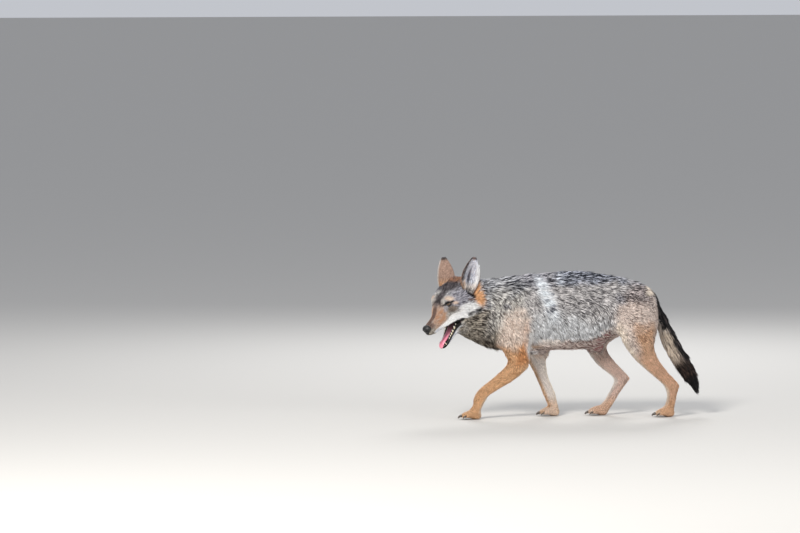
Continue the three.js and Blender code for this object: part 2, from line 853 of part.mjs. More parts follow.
// The ear is a hollow leaf. Each row is an arc of points at a depth outside its middle surface.
function earRows({ side, tip, faces }) {
  const mirror = ([x, y, z]) => new THREE.Vector3(x, y * side, z);
  const root = mirror(EAR_ROOT);
  const along = mirror(tip).sub(root);
  const length = along.length();
  along.normalize();
  const ahead = mirror(faces);
  ahead.addScaledVector(along, -ahead.dot(along)).normalize();
  const wide = new THREE.Vector3().crossVectors(ahead, along);
  return EAR_OUTLINE.map((share, row) => {
    const v = row / (EAR_OUTLINE.length - 1);
    const curl = degrees(mix(EAR_CURL.root, EAR_CURL.tip, Math.min(v * EAR_CURL.share, 1)));
    const radius = (EAR_WIDTH * share) / Math.sin(Math.min(curl, Math.PI / 2));
    const centre = root.clone().addScaledVector(along, v * length);
    centre.addScaledVector(ahead, Math.cos(curl) * radius - EAR_BOW * Math.sin(v * Math.PI));
    const thick = mix(EAR_THICK.root, EAR_THICK.tip, v);
    const arc = (depth) =>
      Array.from({ length: EAR_STEPS + 1 }, (_, i) => {
        const u = (i / EAR_STEPS) * 2 - 1;
        const reach = radius + depth * thick * (1 - 0.45 * u * u);
        const point = centre.clone().addScaledVector(wide, Math.sin(u * curl) * reach);
        return point.addScaledVector(ahead, -Math.cos(u * curl) * reach);
      });
    return { arc, ahead };
  });
}

const earShell = (ear) => closedRings(earRows(ear).map(({ arc }) => [...arc(1), ...arc(-1).reverse()]));

// What the ear takes out of the head: its outer shape, open on the side that the hollow faces.
function earSocket(ear) {
  const MOUTH = 30; // how far the open side reaches ahead of the ear
  const CLEAR = 1.25; // the socket's depth, where the shell's own is 1
  const BELOW = 0.1; // of a row's height, by which the socket runs on below the ear's root
  const rings = earRows(ear).map(({ arc, ahead }) => {
    const outer = arc(CLEAR);
    const lips = [outer[EAR_STEPS], outer[0]].map((point) => point.clone().addScaledVector(ahead, MOUTH));
    return [...outer, ...lips];
  });
  const middle = EAR_STEPS / 2;
  const drop = rings[0][middle].clone().sub(rings[1][middle]).multiplyScalar(BELOW);
  const lowest = rings[0].map((point) => point.clone().add(drop));
  return closedRings([lowest, ...rings]);
}

// ---------------------------------------------------------------- the parts themselves

const group = new THREE.Group();
group.name = "wolf";

function add(name, colour, solid) {
  const material = new THREE.MeshStandardMaterial({ color: COLOURS[colour], roughness: 0.8 });
  const mesh = new THREE.Mesh(geometryFrom(solid), material);
  mesh.name = name;
  group.add(mesh);
}

// How closely each part is sampled.
const CELLS = { upper: [33, 19, 30], paw: [18, 10.5, 13], nose: [9, 8, 8], tongue: [18, 9, 8] };
const TUBES = {
  trunk: { step: 40, sides: 20, most: 260 },
  neck: { step: 33, sides: 20, most: 240 },
  tail: { step: 36, sides: 10, most: 60 },
  lower: { step: 24, sides: 12, most: 90 },
};

// The whole body's surface as a solid, sampled on grid lines that may lie in another frame.
function meshOf(places, frame) {
  const field = frame ? inFrame(frame, wholeBody) : wholeBody;
  return solidOf(surfaceOf(field, places), frame);
}

const tubeThrough = (stations, { step, sides, most }) =>
  solidOf(tubeOf(wholeBody, pathThrough(stations, step), sides, most));

// What is left of a solid on the inner side of some faces, half a cut away from each.
const keep = (solid, ...faces) => solid.intersect(region(faces, -GAP / 2));

function build() {
  const limbs = [...Object.values(LEGS).map(legFaces), TAIL_FACES].map((faces) => region(faces, GAP / 2));
  const withoutLimbs = (solid) => limbs.reduce((left, limb) => left.subtract(limb), solid);

  const trunkLine = [[-350, 0, 440], [0, 0, 450], [250, 0, 480], [398, 0, 490]];
  add("trunk", "coat", keep(withoutLimbs(tubeThrough(trunkLine, TUBES.trunk)), flipped(NECK_FACE)));
  const neckLine = [[-130, 0, 460], [-300, 0, 455], [-400, -6, 470], [-500, -20, 490]];
  add("neck", "coat", keep(withoutLimbs(tubeThrough(neckLine, TUBES.neck)), NECK_FACE, flipped(HEAD_FACE)));
  const tailLine = [[352, 0, 500], ...TAIL_LINE, [577, 0, 118]];
  add("tail", "tail", keep(tubeThrough(tailLine, TUBES.tail), ...TAIL_FACES));

  for (const [name, leg] of Object.entries(LEGS)) buildLeg(name, leg);
  buildHead();
}

function buildLeg(name, leg) {
  const faces = legFaces(leg);
  const knee = leg.fore ? KNEE.fore : KNEE.hind;
  const upper = keep(upperLeg(leg, knee), ...faces, level(knee, true));
  add(`${name}_upper`, "coat", upper.subtract(region(TAIL_FACES, GAP / 2)));

  // the line of the lower leg starts one step above the knee
  const chain = sided([...leg.upper.slice(-1), ...leg.lower, ...leg.foot], leg.side);
  const above = chain[0].map((value, i) => (i < 3 ? 2 * value - chain[1][i] : value));
  const lower = tubeThrough([above, ...chain], TUBES.lower);
  add(`${name}_lower`, "leg", keep(lower, ...faces.slice(0, 2), level(knee, false), level(ANKLE, true)));

  let paw = keep(pawMesh(leg), level(ANKLE, false), level(-GAP / 2, true));
  for (let i = 0; i < 4; i++) {
    const shape = toeClaw(leg, i);
    add(`${name}_claw_${i + 1}`, "claw", solidOf(shape));
    paw = paw.subtract(solidOf(grown(shape, GAP)));
  }
  add(`${name}_paw`, "leg", paw);
}

function upperLeg(leg, knee) {
  const MARGIN = 60;
  const OUTERMOST = 140;
  const stations = [...leg.upper, ...leg.lower];
  const rear = Math.min(...stations.map(([x, , , deep]) => x - deep)) - MARGIN;
  const front = Math.max(...stations.map(([x, , , deep]) => x + deep)) + MARGIN;
  const [low, high] = leg.side < 0 ? [-OUTERMOST, 0] : [0, OUTERMOST];
  return meshOf(grid([rear, low, knee - MARGIN / 2], [front, high, LEG_TOP + MARGIN / 2], CELLS.upper));
}

function pawMesh({ paw: [x, y], side }) {
  const HALF_WIDTH = 55;
  const middle = y * side;
  const low = [x - 80, middle - HALF_WIDTH, -14];
  const high = [x + 60, middle + HALF_WIDTH, ANKLE + 16];
  return meshOf(grid(low, high, CELLS.paw));
}

function toeClaw({ paw: [x, y], side, fore }, i) {
  const CLEAR = 2; // the claw starts this far ahead of its toe's middle line
  const across = (i - 1.5) * TOE_SPREAD * TOE_FAN;
  return claw(x - toeReach(i, fore) - CLEAR, y * side + across, CLAW_HEIGHT);
}

function buildHead() {
  const jawFrame = HEAD.clone().multiply(JAW_SWING);
  const mouth = solidOf(wedge(vector(MOUTH_CORNER), UPPER_LIP_SLOPE, LOWER_LIP_SLOPE), HEAD);
  const slant = degrees(LOWER_LIP_SLOPE);
  const jawFaces = [
    faceIn(HEAD, [MOUTH_CORNER, [Math.sin(slant), 0, -Math.cos(slant)]]),
    faceIn(HEAD, [MOUTH_CORNER, [0.91, 0, -0.41]]),
    faceIn(HEAD, [[0, -HALF_JAW, 0], [0, 1, 0]]),
    faceIn(HEAD, [[0, HALF_JAW, 0], [0, -1, 0]]),
    faceIn(jawFrame, [[0, 0, JAW_BOTTOM], [0, 0, 1]]),
  ];

  const headLines = [lines(-210, 160, 27, 17, -35), lines(-150, 150, 18.75), lines(-215, 95, 18.5)];
  const palate = new THREE.SphereGeometry(1, 12, 6).scale(70, 18, 14).translate(66, 0, -78);
  let head = keep(meshOf(headLines, HEAD), HEAD_FACE);
  head = head.subtract(mouth).subtract(region(jawFaces, GAP / 2)).subtract(solidOf(palate, HEAD));
  head = head.add(teeth(UPPER_TEETH, upperGum, -1).transform(listOf(HEAD)));

  const jawLines = [lines(-80, 150, 19), lines(-66, 66, 14), lines(-150, -40, 14)];
  let jaw = keep(meshOf(jawLines, jawFrame), ...jawFaces).subtract(mouth);
  jaw = jaw.add(teeth(LOWER_TEETH, jawTop, 1).transform(listOf(jawFrame)));

  const tongue = surfaceOf(tongueShape, grid([-6, -34, -94], [138, 34, -52], CELLS.tongue));
  add("tongue", "tongue", solidOf(tongue, jawFrame));
  const tongueRoom = solidOf(grown(tongue, GAP), jawFrame);
  add("jaw", "jaw", jaw.subtract(tongueRoom));

  const nose = surfaceOf(noseShape, grid([108, -28, -76], [160, 28, -14], CELLS.nose));
  add("nose", "nose", solidOf(nose, HEAD));
  head = head.subtract(tongueRoom).subtract(solidOf(grown(nose, GAP), HEAD));

  for (const [name, ear] of Object.entries(EARS)) {
    const [x, y, z] = EYE_MIDDLE;
    const eye = new THREE.SphereGeometry(EYE_RADIUS, 10, 6).translate(x, y * ear.side, z);
    add(`eye_${name}`, "eye", solidOf(eye, HEAD));
    add(`ear_${name}`, "ear", solidOf(earShell(ear), HEAD));
    head = head.subtract(solidOf(grown(eye, GAP), HEAD)).subtract(solidOf(earSocket(ear), HEAD));
  }
  add("head", "coat", head);
}

const listOf = (matrix) => [...matrix.elements];

// The height in the head's frame from which the upper teeth hang at x.
function upperGum(x) {
  const ABOVE = 4;
  const lip = MOUTH_CORNER[2] + LIP_RADIUS + (x - MOUTH_CORNER[0]) * Math.tan(degrees(UPPER_LIP_SLOPE));
  return lip + ABOVE;
}

// The height of the jaw's cut upper face at x, in the jaw's own frame.
function jawTop(x) {
  const corner = vector(MOUTH_CORNER).applyMatrix4(JAW_SWING_INVERSE);
  const tilt = degrees(LOWER_LIP_SLOPE + GAPE);
  return corner.z + (x - corner.x) * Math.tan(tilt) - LIP_RADIUS;
}

// The wedge of the open mouth in the head's frame. It is drawn from the side, runs forward from the
// rounded corner and is as wide as the head.
function wedge(corner, upperSlope, lowerSlope) {
  const REACH = 230;
  const HALF_WIDTH = 130;
  const STEPS = 6;
  const ahead = ([x, z], angle, reach) => [x + Math.cos(angle) * reach, z + Math.sin(angle) * reach];
  const upper = degrees(upperSlope);
  const lower = degrees(lowerSlope);
  const outline = Array.from({ length: STEPS + 1 }, (_, i) => {
    const angle = mix(upper + Math.PI / 2, lower + Math.PI * 1.5, i / STEPS);
    return ahead([corner.x, corner.z], angle, LIP_RADIUS);
  });
  outline.push(ahead(outline[STEPS], lower, REACH));
  outline.push(ahead(outline[0], upper, REACH));
  const shape = new THREE.Shape(outline.map(([x, z]) => new THREE.Vector2(x, z)));
  const slab = new THREE.ExtrudeGeometry(shape, { depth: HALF_WIDTH * 2, bevelEnabled: false });
  return slab.rotateX(Math.PI / 2).translate(0, HALF_WIDTH, 0);
}

build();

const bounds = new THREE.Box3().setFromObject(group);
const middle = bounds.getCenter(new THREE.Vector3());
group.position.set(-middle.x, -middle.y, -bounds.min.z);

export default group;
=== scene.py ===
# A walking wolf in thin summer coat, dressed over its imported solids.
# Metres, +Z up. The wolf walks towards -X and its left side faces -Y.
import math
import bmesh
import bpy
import numpy as np
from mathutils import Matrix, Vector
from mathutils.bvhtree import BVHTree


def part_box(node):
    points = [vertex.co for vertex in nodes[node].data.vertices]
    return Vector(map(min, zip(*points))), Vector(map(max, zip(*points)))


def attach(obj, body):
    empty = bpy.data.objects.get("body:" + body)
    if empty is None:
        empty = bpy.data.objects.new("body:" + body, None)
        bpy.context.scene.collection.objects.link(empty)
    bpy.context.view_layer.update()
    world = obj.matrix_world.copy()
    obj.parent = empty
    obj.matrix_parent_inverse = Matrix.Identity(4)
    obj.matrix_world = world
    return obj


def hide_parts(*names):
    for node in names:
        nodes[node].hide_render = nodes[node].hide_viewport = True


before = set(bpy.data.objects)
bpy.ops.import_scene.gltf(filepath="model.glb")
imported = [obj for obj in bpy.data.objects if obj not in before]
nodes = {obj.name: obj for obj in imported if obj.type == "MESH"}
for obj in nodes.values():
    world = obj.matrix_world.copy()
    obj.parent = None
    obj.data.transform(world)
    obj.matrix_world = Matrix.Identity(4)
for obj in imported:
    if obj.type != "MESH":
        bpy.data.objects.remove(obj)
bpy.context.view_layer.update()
scene = bpy.context.scene
mm = 0.001
print("frame loaded:", len(nodes), "nodes")


# ---- small helpers

def unit(values):
    length = np.linalg.norm(values, axis=-1, keepdims=True)
    return values / np.maximum(length, 1e-9)


def smoothStep(low, high, value):
    share = np.clip((value - low) / (high - low), 0, 1)
    return share * share * (3 - 2 * share)


def rgb(red, green, blue):
    # an sRGB colour of 0 to 255 as linear light
    shares = np.array([red, green, blue]) / 255
    return np.where(shares <= 0.04045, shares / 12.92, ((shares + 0.055) / 1.055) ** 2.4)


def boxMiddle(name):
    low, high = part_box(name)
    return np.array((Vector(low) + Vector(high)) / 2)


def newObject(name, mesh):
    thing = bpy.data.objects.new(name, mesh)
    scene.collection.objects.link(thing)
    return thing


def meshFrom(name, points, faces):
    mesh = bpy.data.meshes.new(name)
    mesh.from_pydata([tuple(point) for point in points], [], [tuple(face) for face in faces])
    mesh.update()
    return mesh


def pointsOf(mesh):
    places = np.empty(len(mesh.vertices) * 3)
    mesh.vertices.foreach_get("co", places)
    return places.reshape(-1, 3)


def normalsOf(mesh):
    directions = np.empty(len(mesh.vertices) * 3)
    mesh.vertices.foreach_get("normal", directions)
    return directions.reshape(-1, 3)


def movePoints(mesh, places):
    mesh.vertices.foreach_set("co", np.asarray(places, dtype=float).ravel())
    mesh.update()


def store(mesh, name, values, domain="POINT"):
    kind, field = ("FLOAT", "value") if values.ndim == 1 else ("FLOAT_VECTOR", "vector")
    attribute = mesh.attributes.new(name, kind, domain)
    attribute.data.foreach_set(field, np.asarray(values, dtype=np.float32).ravel())


def storeZone(mesh, values):
    attribute = mesh.attributes.new("zone", "INT", "FACE")
    attribute.data.foreach_set("value", values.astype(np.int32))


def dropAttributes(mesh, *names):
    for name in names:
        if name in mesh.attributes:
            mesh.attributes.remove(mesh.attributes[name])


def cornersOf(mesh):
    # each corner's point, each face's first corner, and the face of each corner
    points = np.empty(len(mesh.loops), dtype=np.int64)
    mesh.loops.foreach_get("vertex_index", points)
    starts = np.empty(len(mesh.polygons), dtype=np.int64)
    mesh.polygons.foreach_get("loop_start", starts)
    return points, starts, np.repeat(np.arange(len(starts)), np.diff(np.append(starts, len(points))))


def turnsOf(count):
    # evenly spaced angles of one full turn
    return np.arange(count) * 2 * math.pi / count


def evened(values, rounds):
    # smooths a row of values between its two ends
    for _ in range(rounds):
        values[1:-1] = (values[:-2] + 2 * values[1:-1] + values[2:]) / 4
    return values


def alongRings(rings, sides):
    # 0 to 1 over the rings of a loft, with the middles of its two ends
    return np.concatenate([np.repeat(np.linspace(0, 1, rings), sides), [0, 1]])


def evaluatedMesh(thing):
    # what the object's modifiers make, as a plain mesh
    depsgraph = bpy.context.evaluated_depsgraph_get()
    return bpy.data.meshes.new_from_object(thing.evaluated_get(depsgraph))


def keepPiece(thing, slot, *replaced):
    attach(thing, "root")
    if replaced:
        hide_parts(*replaced)
    thing.data.polygons.foreach_set("use_smooth", [True] * len(thing.data.polygons))


def addPiece(name, mesh, material, slot, *replaced):
    mesh.materials.append(material)
    keepPiece(newObject(name, mesh), slot, *replaced)


# ---- the head's own axes, as in the part's source: forward, to the wolf's left, and up

headSettings = {
    "turn": 38,  # degrees to the left of the walk
    "drop": 31,  # degrees below level
    "roll": 2,
    "gape": 24,  # degrees that the jaw hangs open
    "eye": (-1, 36, 1),  # the middle of an eyeball, in millimetres from the head's origin
    "eyeRadius": 12,
    "jawJoint": (-62, 0, -52),
    "mouthCorner": (-16, -87),
    "lipRadius": 5,
    "upperLipSlope": 5.5,
    "lowerLipSlope": 4,
    "firstTooth": 8,  # how far forward the solids' teeth begin
}


def headAxes(settings):
    turn, drop, roll = (math.radians(settings[key]) for key in ("turn", "drop", "roll"))
    level = np.array([-math.cos(turn), -math.sin(turn), 0])
    sideways = np.array([math.sin(turn), -math.cos(turn), 0])
    up = np.array([0, 0, 1.0])
    forward = level * math.cos(drop) - up * math.sin(drop)
    left = sideways * math.cos(roll) + (up * math.cos(drop) + level * math.sin(drop)) * math.sin(roll)
    return np.stack([forward, left, np.cross(forward, left)])


headTurned = headAxes(headSettings)
eyesMiddle = (boxMiddle("eye_left") + boxMiddle("eye_right")) / 2
headOrigin = eyesMiddle - np.array([headSettings["eye"][0], 0, headSettings["eye"][2]]) * mm @ headTurned


def intoHead(places):
    # millimetres in the head's frame
    return (places - headOrigin) @ headTurned.T / mm


def fromHead(local):
    return np.asarray(local, dtype=float) * mm @ headTurned + headOrigin


def swingJaw(local, degrees):
    # turns points of the head's frame about the jaw's joint; opening is positive
    angle = math.radians(degrees)
    joint = np.array(headSettings["jawJoint"], dtype=float)
    x, y, z = (np.asarray(local, dtype=float) - joint).T
    turned = [x * math.cos(angle) + z * math.sin(angle), y, -x * math.sin(angle) + z * math.cos(angle)]
    return np.stack(turned, axis=-1) + joint


def intoJaw(places):
    return swingJaw(intoHead(places), -headSettings["gape"])


def fromJaw(local):
    return fromHead(swingJaw(local, headSettings["gape"]))


def upperLipHeight(forward):
    # the height in the head's frame at which the upper lip ends
    slope = math.tan(math.radians(headSettings["upperLipSlope"]))
    cornerX, cornerZ = headSettings["mouthCorner"]
    return cornerZ + headSettings["lipRadius"] + (forward - cornerX) * slope


def lowerLipHeight(forward):
    # the height in the jaw's frame at which the lower lip ends
    cornerX, cornerZ = headSettings["mouthCorner"]
    corner = swingJaw([[cornerX, 0, cornerZ]], -headSettings["gape"])[0]
    slope = math.tan(math.radians(headSettings["lowerLipSlope"]))
    return corner[2] - headSettings["lipRadius"] - (forward - corner[0]) * slope


# ---- the bare skin: copies of the flesh joined, remeshed and smoothed

skinSettings = {
    "voxel": 5.6 * mm,
    "swell": 0.7 * mm,  # grows each copy, so that the thin cuts between the solids close
    "smoothing": 26,
    "finer": 2,  # times that the face is subdivided
    "resettled": 3,  # rounds of smoothing after each time
    "eyeFront": 4,  # how far ahead of and beside the eye's middle its reach is measured from
    "eyeReach": (30, 23),  # millimetres round the eye that are subdivided, each time
    "face": {"from": -30, "top": 5, "bottom": -112, "side": 75},
    "lipReach": 9,
    "muzzleTip": 108,
    "toeTop": 0.05,  # height below which the toes are subdivided
    "shareSmoothing": 24,
}

legNames = [f"{end}_{side}" for end in ("fore", "hind") for side in ("left", "right")]
limbNodes = [f"{leg}_{part}" for leg in legNames for part in ("upper", "lower", "paw")]
fleshNodes = ["trunk", "neck", "tail", "head", "jaw"] + limbNodes


def withoutTeeth(name, places):
    # presses the solids' teeth flat into the lips, because they are made again below
    if name not in ("head", "jaw"):
        return places
    upper = name == "head"
    local = intoHead(places) if upper else intoJaw(places)
    ground = (upperLipHeight if upper else lowerLipHeight)(local[:, 0])
    beyond = local[:, 2] < ground if upper else local[:, 2] > ground
    teeth = (local[:, 0] > headSettings["firstTooth"]) & beyond
    local[teeth, 2] = ground[teeth]
    return fromHead(local) if upper else fromJaw(local)


def fleshCopies(names, swell):
    points, faces = [], []
    for name in names:
        source = bmesh.new()
        source.from_mesh(nodes[name].data)
        bmesh.ops.remove_doubles(source, verts=source.verts, dist=1e-6)
        source.normal_update()
        places = np.array([vertex.co + vertex.normal * swell for vertex in source.verts])
        faces += [[corner.index + len(points) for corner in face.verts] for face in source.faces]
        points += list(withoutTeeth(name, places))
        source.free()
    return meshFrom("flesh", points, faces)


def remeshed(mesh, voxel):
    thing = newObject("remesh", mesh)
    remesh = thing.modifiers.new("remesh", "REMESH")
    remesh.mode = "VOXEL"
    remesh.voxel_size = voxel
    result = evaluatedMesh(thing)
    bpy.data.objects.remove(thing)
    return result


class Net:
    # the edges of a mesh, for smoothing values over it
    def __init__(self, mesh):
        ends = np.empty(len(mesh.edges) * 2, dtype=np.int64)
        mesh.edges.foreach_get("vertices", ends)
        ends = ends.reshape(-1, 2)
        self.size = len(mesh.vertices)
        self.here = np.concatenate([ends[:, 0], ends[:, 1]])
        self.there = np.concatenate([ends[:, 1], ends[:, 0]])
        self.count = np.maximum(np.bincount(self.here, minlength=self.size), 1)

    def mean(self, values):
        columns = values.reshape(self.size, -1)
        sums = [np.bincount(self.here, column[self.there], self.size) for column in columns.T]
        return (np.stack(sums, axis=-1) / self.count[:, None]).reshape(values.shape)

    def smooth(self, values, rounds, share=0.5):
        for _ in range(rounds):
            values = values + (self.mean(values) - values) * share
        return values

    def smoothShape(self, places, rounds):
        # steps in and out, so that the form keeps its size
        for _ in range(rounds):
            places = places + (self.mean(places) - places) * 0.5
            places = places - (self.mean(places) - places) * 0.52
        return places


def subdivideWhere(mesh, chosen):
    # chosen marks vertices; every edge between two of them is split
    work = bmesh.new()
    work.from_mesh(mesh)
    edges = [edge for edge in work.edges if chosen[edge.verts[0].index] and chosen[edge.verts[1].index]]
    bmesh.ops.subdivide_edges(work, edges=edges, cuts=1, use_grid_fill=True)
    work.to_mesh(mesh)
    work.free()
    mesh.update()


def bareSkin(settings):
    flesh = fleshCopies(fleshNodes + ["nose", "eye_left", "eye_right"], settings["swell"])
    skin = remeshed(flesh, settings["voxel"])
    movePoints(skin, Net(skin).smoothShape(pointsOf(skin), settings["smoothing"]))
    eyeX, eyeY, eyeZ = headSettings["eye"]
    front, face = settings["eyeFront"], settings["face"]
    for step in range(settings["finer"]):
        places = pointsOf(skin)
        x, y, z = intoHead(places).T
        eyeGap = np.hypot(np.hypot(x - eyeX - front, np.abs(y) - eyeY - front), z - eyeZ)
        nearEye = eyeGap < settings["eyeReach"][step]
        jawZ = intoJaw(places)[:, 2]
        muzzle = (x > face["from"]) & (z < face["top"]) & (jawZ > face["bottom"]) & (np.abs(y) < face["side"])
        lipGap = np.minimum(np.abs(z - upperLipHeight(x)), np.abs(jawZ - lowerLipHeight(x)))
        lips = (lipGap < settings["lipReach"]) | (x > settings["muzzleTip"])
        nearLips = muzzle & lips if step else muzzle
        toes = (places[:, 2] < settings["toeTop"]) & (step == 0)
        subdivideWhere(skin, nearEye | nearLips | toes)
        movePoints(skin, Net(skin).smoothShape(pointsOf(skin), settings["resettled"]))
    return skin


skinMesh = bareSkin(skinSettings)
skinNet = Net(skinMesh)
print("skin:", len(skinMesh.vertices), "vertices")


# ---- which part of the body each point belongs to, and which way its hair lies

partOfNode = {"trunk": "trunk", "neck": "neck", "tail": "tail", "head": "head", "jaw": "jaw", "nose": "head"}
partOfNode.update({name: name for name in limbNodes})
parts = ["trunk", "neck", "tail", "head", "jaw"] + limbNodes

# how far below level the hair of the body runs, in degrees, at places from the back round to the belly
bodyRuns = {
    "around": (0, 35, 70, 100, 135, 165, 180),
    "trunk": (5, 14, 30, 50, 62, 35, 15),
    "neck": (10, 24, 42, 58, 70, 66, 60),
    "fold": 30,  # the further drop in front of the thigh
    "elbow": 18,  # and behind the elbow
}


def partShares(places, net):
    # each point's share in every part, smoothed over the joins
    corners, faces, owners = [], [], []
    for name in partOfNode:
        mesh = nodes[name].data
        faces += [[index + len(corners) for index in face.vertices] for face in mesh.polygons]
        owners += [parts.index(partOfNode[name])] * len(mesh.polygons)
        corners += [vertex.co for vertex in mesh.vertices]
    tree = BVHTree.FromPolygons(corners, faces)
    nearest = [tree.find_nearest(Vector(place))[2] for place in places]
    shares = np.zeros((len(places), len(parts)))
    shares[np.arange(len(places)), np.array(owners)[nearest]] = 1
    return net.smooth(shares, skinSettings["shareSmoothing"])


def middleLine(names, steps):
    # the middle of a limb's section at evenly spaced heights, from top to bottom
    points = np.vstack([pointsOf(nodes[name].data) for name in names])
    heights = np.linspace(points[:, 2].max(), points[:, 2].min(), steps + 1)
    line = []
    for high, low in zip(heights[:-1], heights[1:]):
        inside = points[(points[:, 2] <= high + 0.01) & (points[:, 2] >= low - 0.01)]
        line.append((inside.min(axis=0) + inside.max(axis=0)) / 2)
    return np.array(line)


legLines = {leg: middleLine([f"{leg}_{part}" for part in ("upper", "lower", "paw")], 14) for leg in legNames}
tailLine = middleLine(["tail"], 10)


def alongLine(places, line):
    # the line's direction beside each point, and the point's share of the way along it
    starts, steps = line[:-1], np.diff(line, axis=0)
    lengths = np.linalg.norm(steps, axis=1)
    runs = ((places[:, None] - starts) * steps).sum(axis=2) / lengths**2
    runs = np.clip(runs, 0, 1)
    gaps = np.linalg.norm(places[:, None] - starts - runs[..., None] * steps, axis=2)
    nearest = gaps.argmin(axis=1)
    rows = np.arange(len(places))
    before = np.concatenate([[0], np.cumsum(lengths)])[nearest]
    travelled = (before + runs[rows, nearest] * lengths[nearest]) / lengths.sum()
    middle = starts[nearest] + runs[rows, nearest, None] * steps[nearest]
    return unit(steps)[nearest], travelled, middle


def headRuns(local):
    # on the head the hair runs back from the nose, up over the brow and down over the cheek
    x, y, z = local.T
    side = np.sign(y) * smoothStep(0, 25, np.abs(y))
    back = -np.ones_like(x)
    outward = side * (0.10 + 0.35 * smoothStep(20, -60, x))
    down = -0.55 * smoothStep(10, -60, z) * smoothStep(30, -40, x) + 0.22 * smoothStep(-10, 30, z)
    return unit(np.stack([back, outward, down], axis=-1) @ headTurned)


def bodyRunsAt(places, around, part):
    # back and down over the body, steeper towards the belly, in front of the thigh and behind the elbow
    x, y, _ = places.T
    angle = np.interp(around, bodyRuns["around"], bodyRuns[part])
    side = smoothStep(50, 85, around) * smoothStep(155, 125, around)
    angle = angle + bodyRuns["fold"] * side * np.exp(-((x - 0.19) / 0.06) ** 2)
    angle = np.radians(angle + bodyRuns["elbow"] * side * np.exp(-((x + 0.09) / 0.07) ** 2))
    outward = 0.22 * np.clip(y / 0.05, -1, 1) * smoothStep(70, 20, around)
    return np.stack([np.cos(angle), outward, -np.sin(angle)], axis=-1)


def legRunsAt(places, part):
    # down the leg, but back from the shoulder and the thigh, and forward over the toes
    down, _, _ = alongLine(places, legLines[part.rsplit("_", 1)[0]])
    z = places[:, 2:3]
    if part.endswith("paw"):
        return unit(down * 0.3 + np.array([-1.0, 0, -0.35]))
    if part.startswith("hind"):
        return unit(down + np.array([1.5, 0, 0.25]) * smoothStep(0.24, 0.46, z))
    return unit(down + np.array([0.7, 0, 0]) * smoothStep(0.26, 0.42, z))


def layOfHair(places, normals, shares, around):
    runs = np.zeros((len(places), 3))
    for index, part in enumerate(parts):
        if part in ("head", "jaw"):
            way = headRuns(intoHead(places) if part == "head" else intoJaw(places))
        elif part == "tail":
            way = alongLine(places, tailLine)[0]
        elif part in ("trunk", "neck"):
            way = bodyRunsAt(places, around, part)
        else:
            way = legRunsAt(places, part)
        runs += shares[:, index:index + 1] * way
    lay = runs - (runs * normals).sum(axis=1, keepdims=True) * normals
    return unit(skinNet.smooth(unit(lay), 6))


places = pointsOf(skinMesh)
normals = normalsOf(skinMesh)
shares = partShares(places, skinNet)
share = {part: shares[:, index] for index, part in enumerate(parts)}
share["face"] = share["head"] + share["jaw"]
for length in ("upper", "lower", "paw"):
    share[length] = sum(share[f"{leg}_{length}"] for leg in legNames)

# the height of the middle of the body, from the neck to the rump
bodyLine = {"x": (-0.42, -0.25, -0.1, 0.1, 0.3, 0.41), "z": (0.49, 0.45, 0.435, 0.445, 0.475, 0.495)}
middleZ = np.interp(places[:, 0], bodyLine["x"], bodyLine["z"])
roundBody = np.degrees(np.arctan2(np.abs(places[:, 1]), places[:, 2] - middleZ))  # 0 on the back, 180 below
lay = layOfHair(places, normals, shares, roundBody)
head = intoHead(places)
jaw = intoJaw(places)
headX, headY, headZ = head[:, 0], np.abs(head[:, 1]), head[:, 2]
tailRun = alongLine(places, tailLine)[1]
print("parts and lay of the hair found")


# ---- the depth of the coat, and the length and width of its locks, in millimetres

# stand is how far beyond the outline the tips of the locks end
coatSettings = {
    "trunk": {"depth": 12, "length": 44, "width": 2.4, "stand": -1.5},
    "neck": {"depth": 17, "length": 58, "width": 2.9, "stand": -1},
    "tail": {"depth": 12, "length": 54, "width": 3.0, "stand": -3},
    "head": {"depth": 5, "length": 20, "width": 2.0, "stand": -0.5},
    "jaw": {"depth": 2, "length": 10, "width": 1.3, "stand": 0},
    "upper": {"depth": 7, "length": 26, "width": 2.1, "stand": -0.5},
    "lower": {"depth": 3.2, "length": 14, "width": 1.7, "stand": 0},
    "paw": {"depth": 2, "length": 9, "width": 1.5, "stand": 0},
    "ruff": {"depth": 24, "length": 68, "width": 3.4, "stand": 2},
    "belly": {"depth": 5, "length": 26, "width": 2.4, "stand": 1},
    "cheek": {"depth": 11, "length": 32, "width": 2.8, "stand": 2},
    "muzzle": {"depth": 1.4, "length": 7.5, "width": 1.0, "stand": 0},
}

# the height under which the hair of the belly is thin, from the breast to the groin
bellyLine = {"x": (-0.10, 0.0, 0.10, 0.16, 0.19, 0.23), "z": (0.338, 0.336, 0.342, 0.362, 0.385, 0.40)}
aboveBelly = places[:, 2] - np.interp(places[:, 0], bellyLine["x"], bellyLine["z"])

zones = {
    "ruff": smoothStep(105, 150, roundBody) * smoothStep(-0.17, -0.27, places[:, 0]),
    "belly": smoothStep(0.012, -0.012, aboveBelly) * smoothStep(-0.14, -0.09, places[:, 0]) * share["trunk"],
    "cheek": smoothStep(-10, -55, headX) * smoothStep(30, 5, headZ) * smoothStep(20, 50, headY),
    "muzzle": smoothStep(-25, 15, headX) * share["head"],
}
zones["ruff"] = zones["ruff"] * (share["neck"] + share["trunk"])
zones["cheek"] = zones["cheek"] * share["head"]
underSkull = smoothStep(-60, -100, headX) * smoothStep(-60, -95, headZ) * share["head"]
zones["ruff"] = np.maximum(zones["ruff"], underSkull)


def coatValue(key):
    plain = ("trunk", "neck", "tail", "head", "jaw", "upper", "lower", "paw")
    value = sum(share[part] * coatSettings[part][key] for part in plain)
    for zone, amount in zones.items():
        value = value + (coatSettings[zone][key] - value) * amount
    return skinNet.smooth(value, 4)


coat = {key: coatValue(key) for key in ("depth", "length", "width", "stand")}

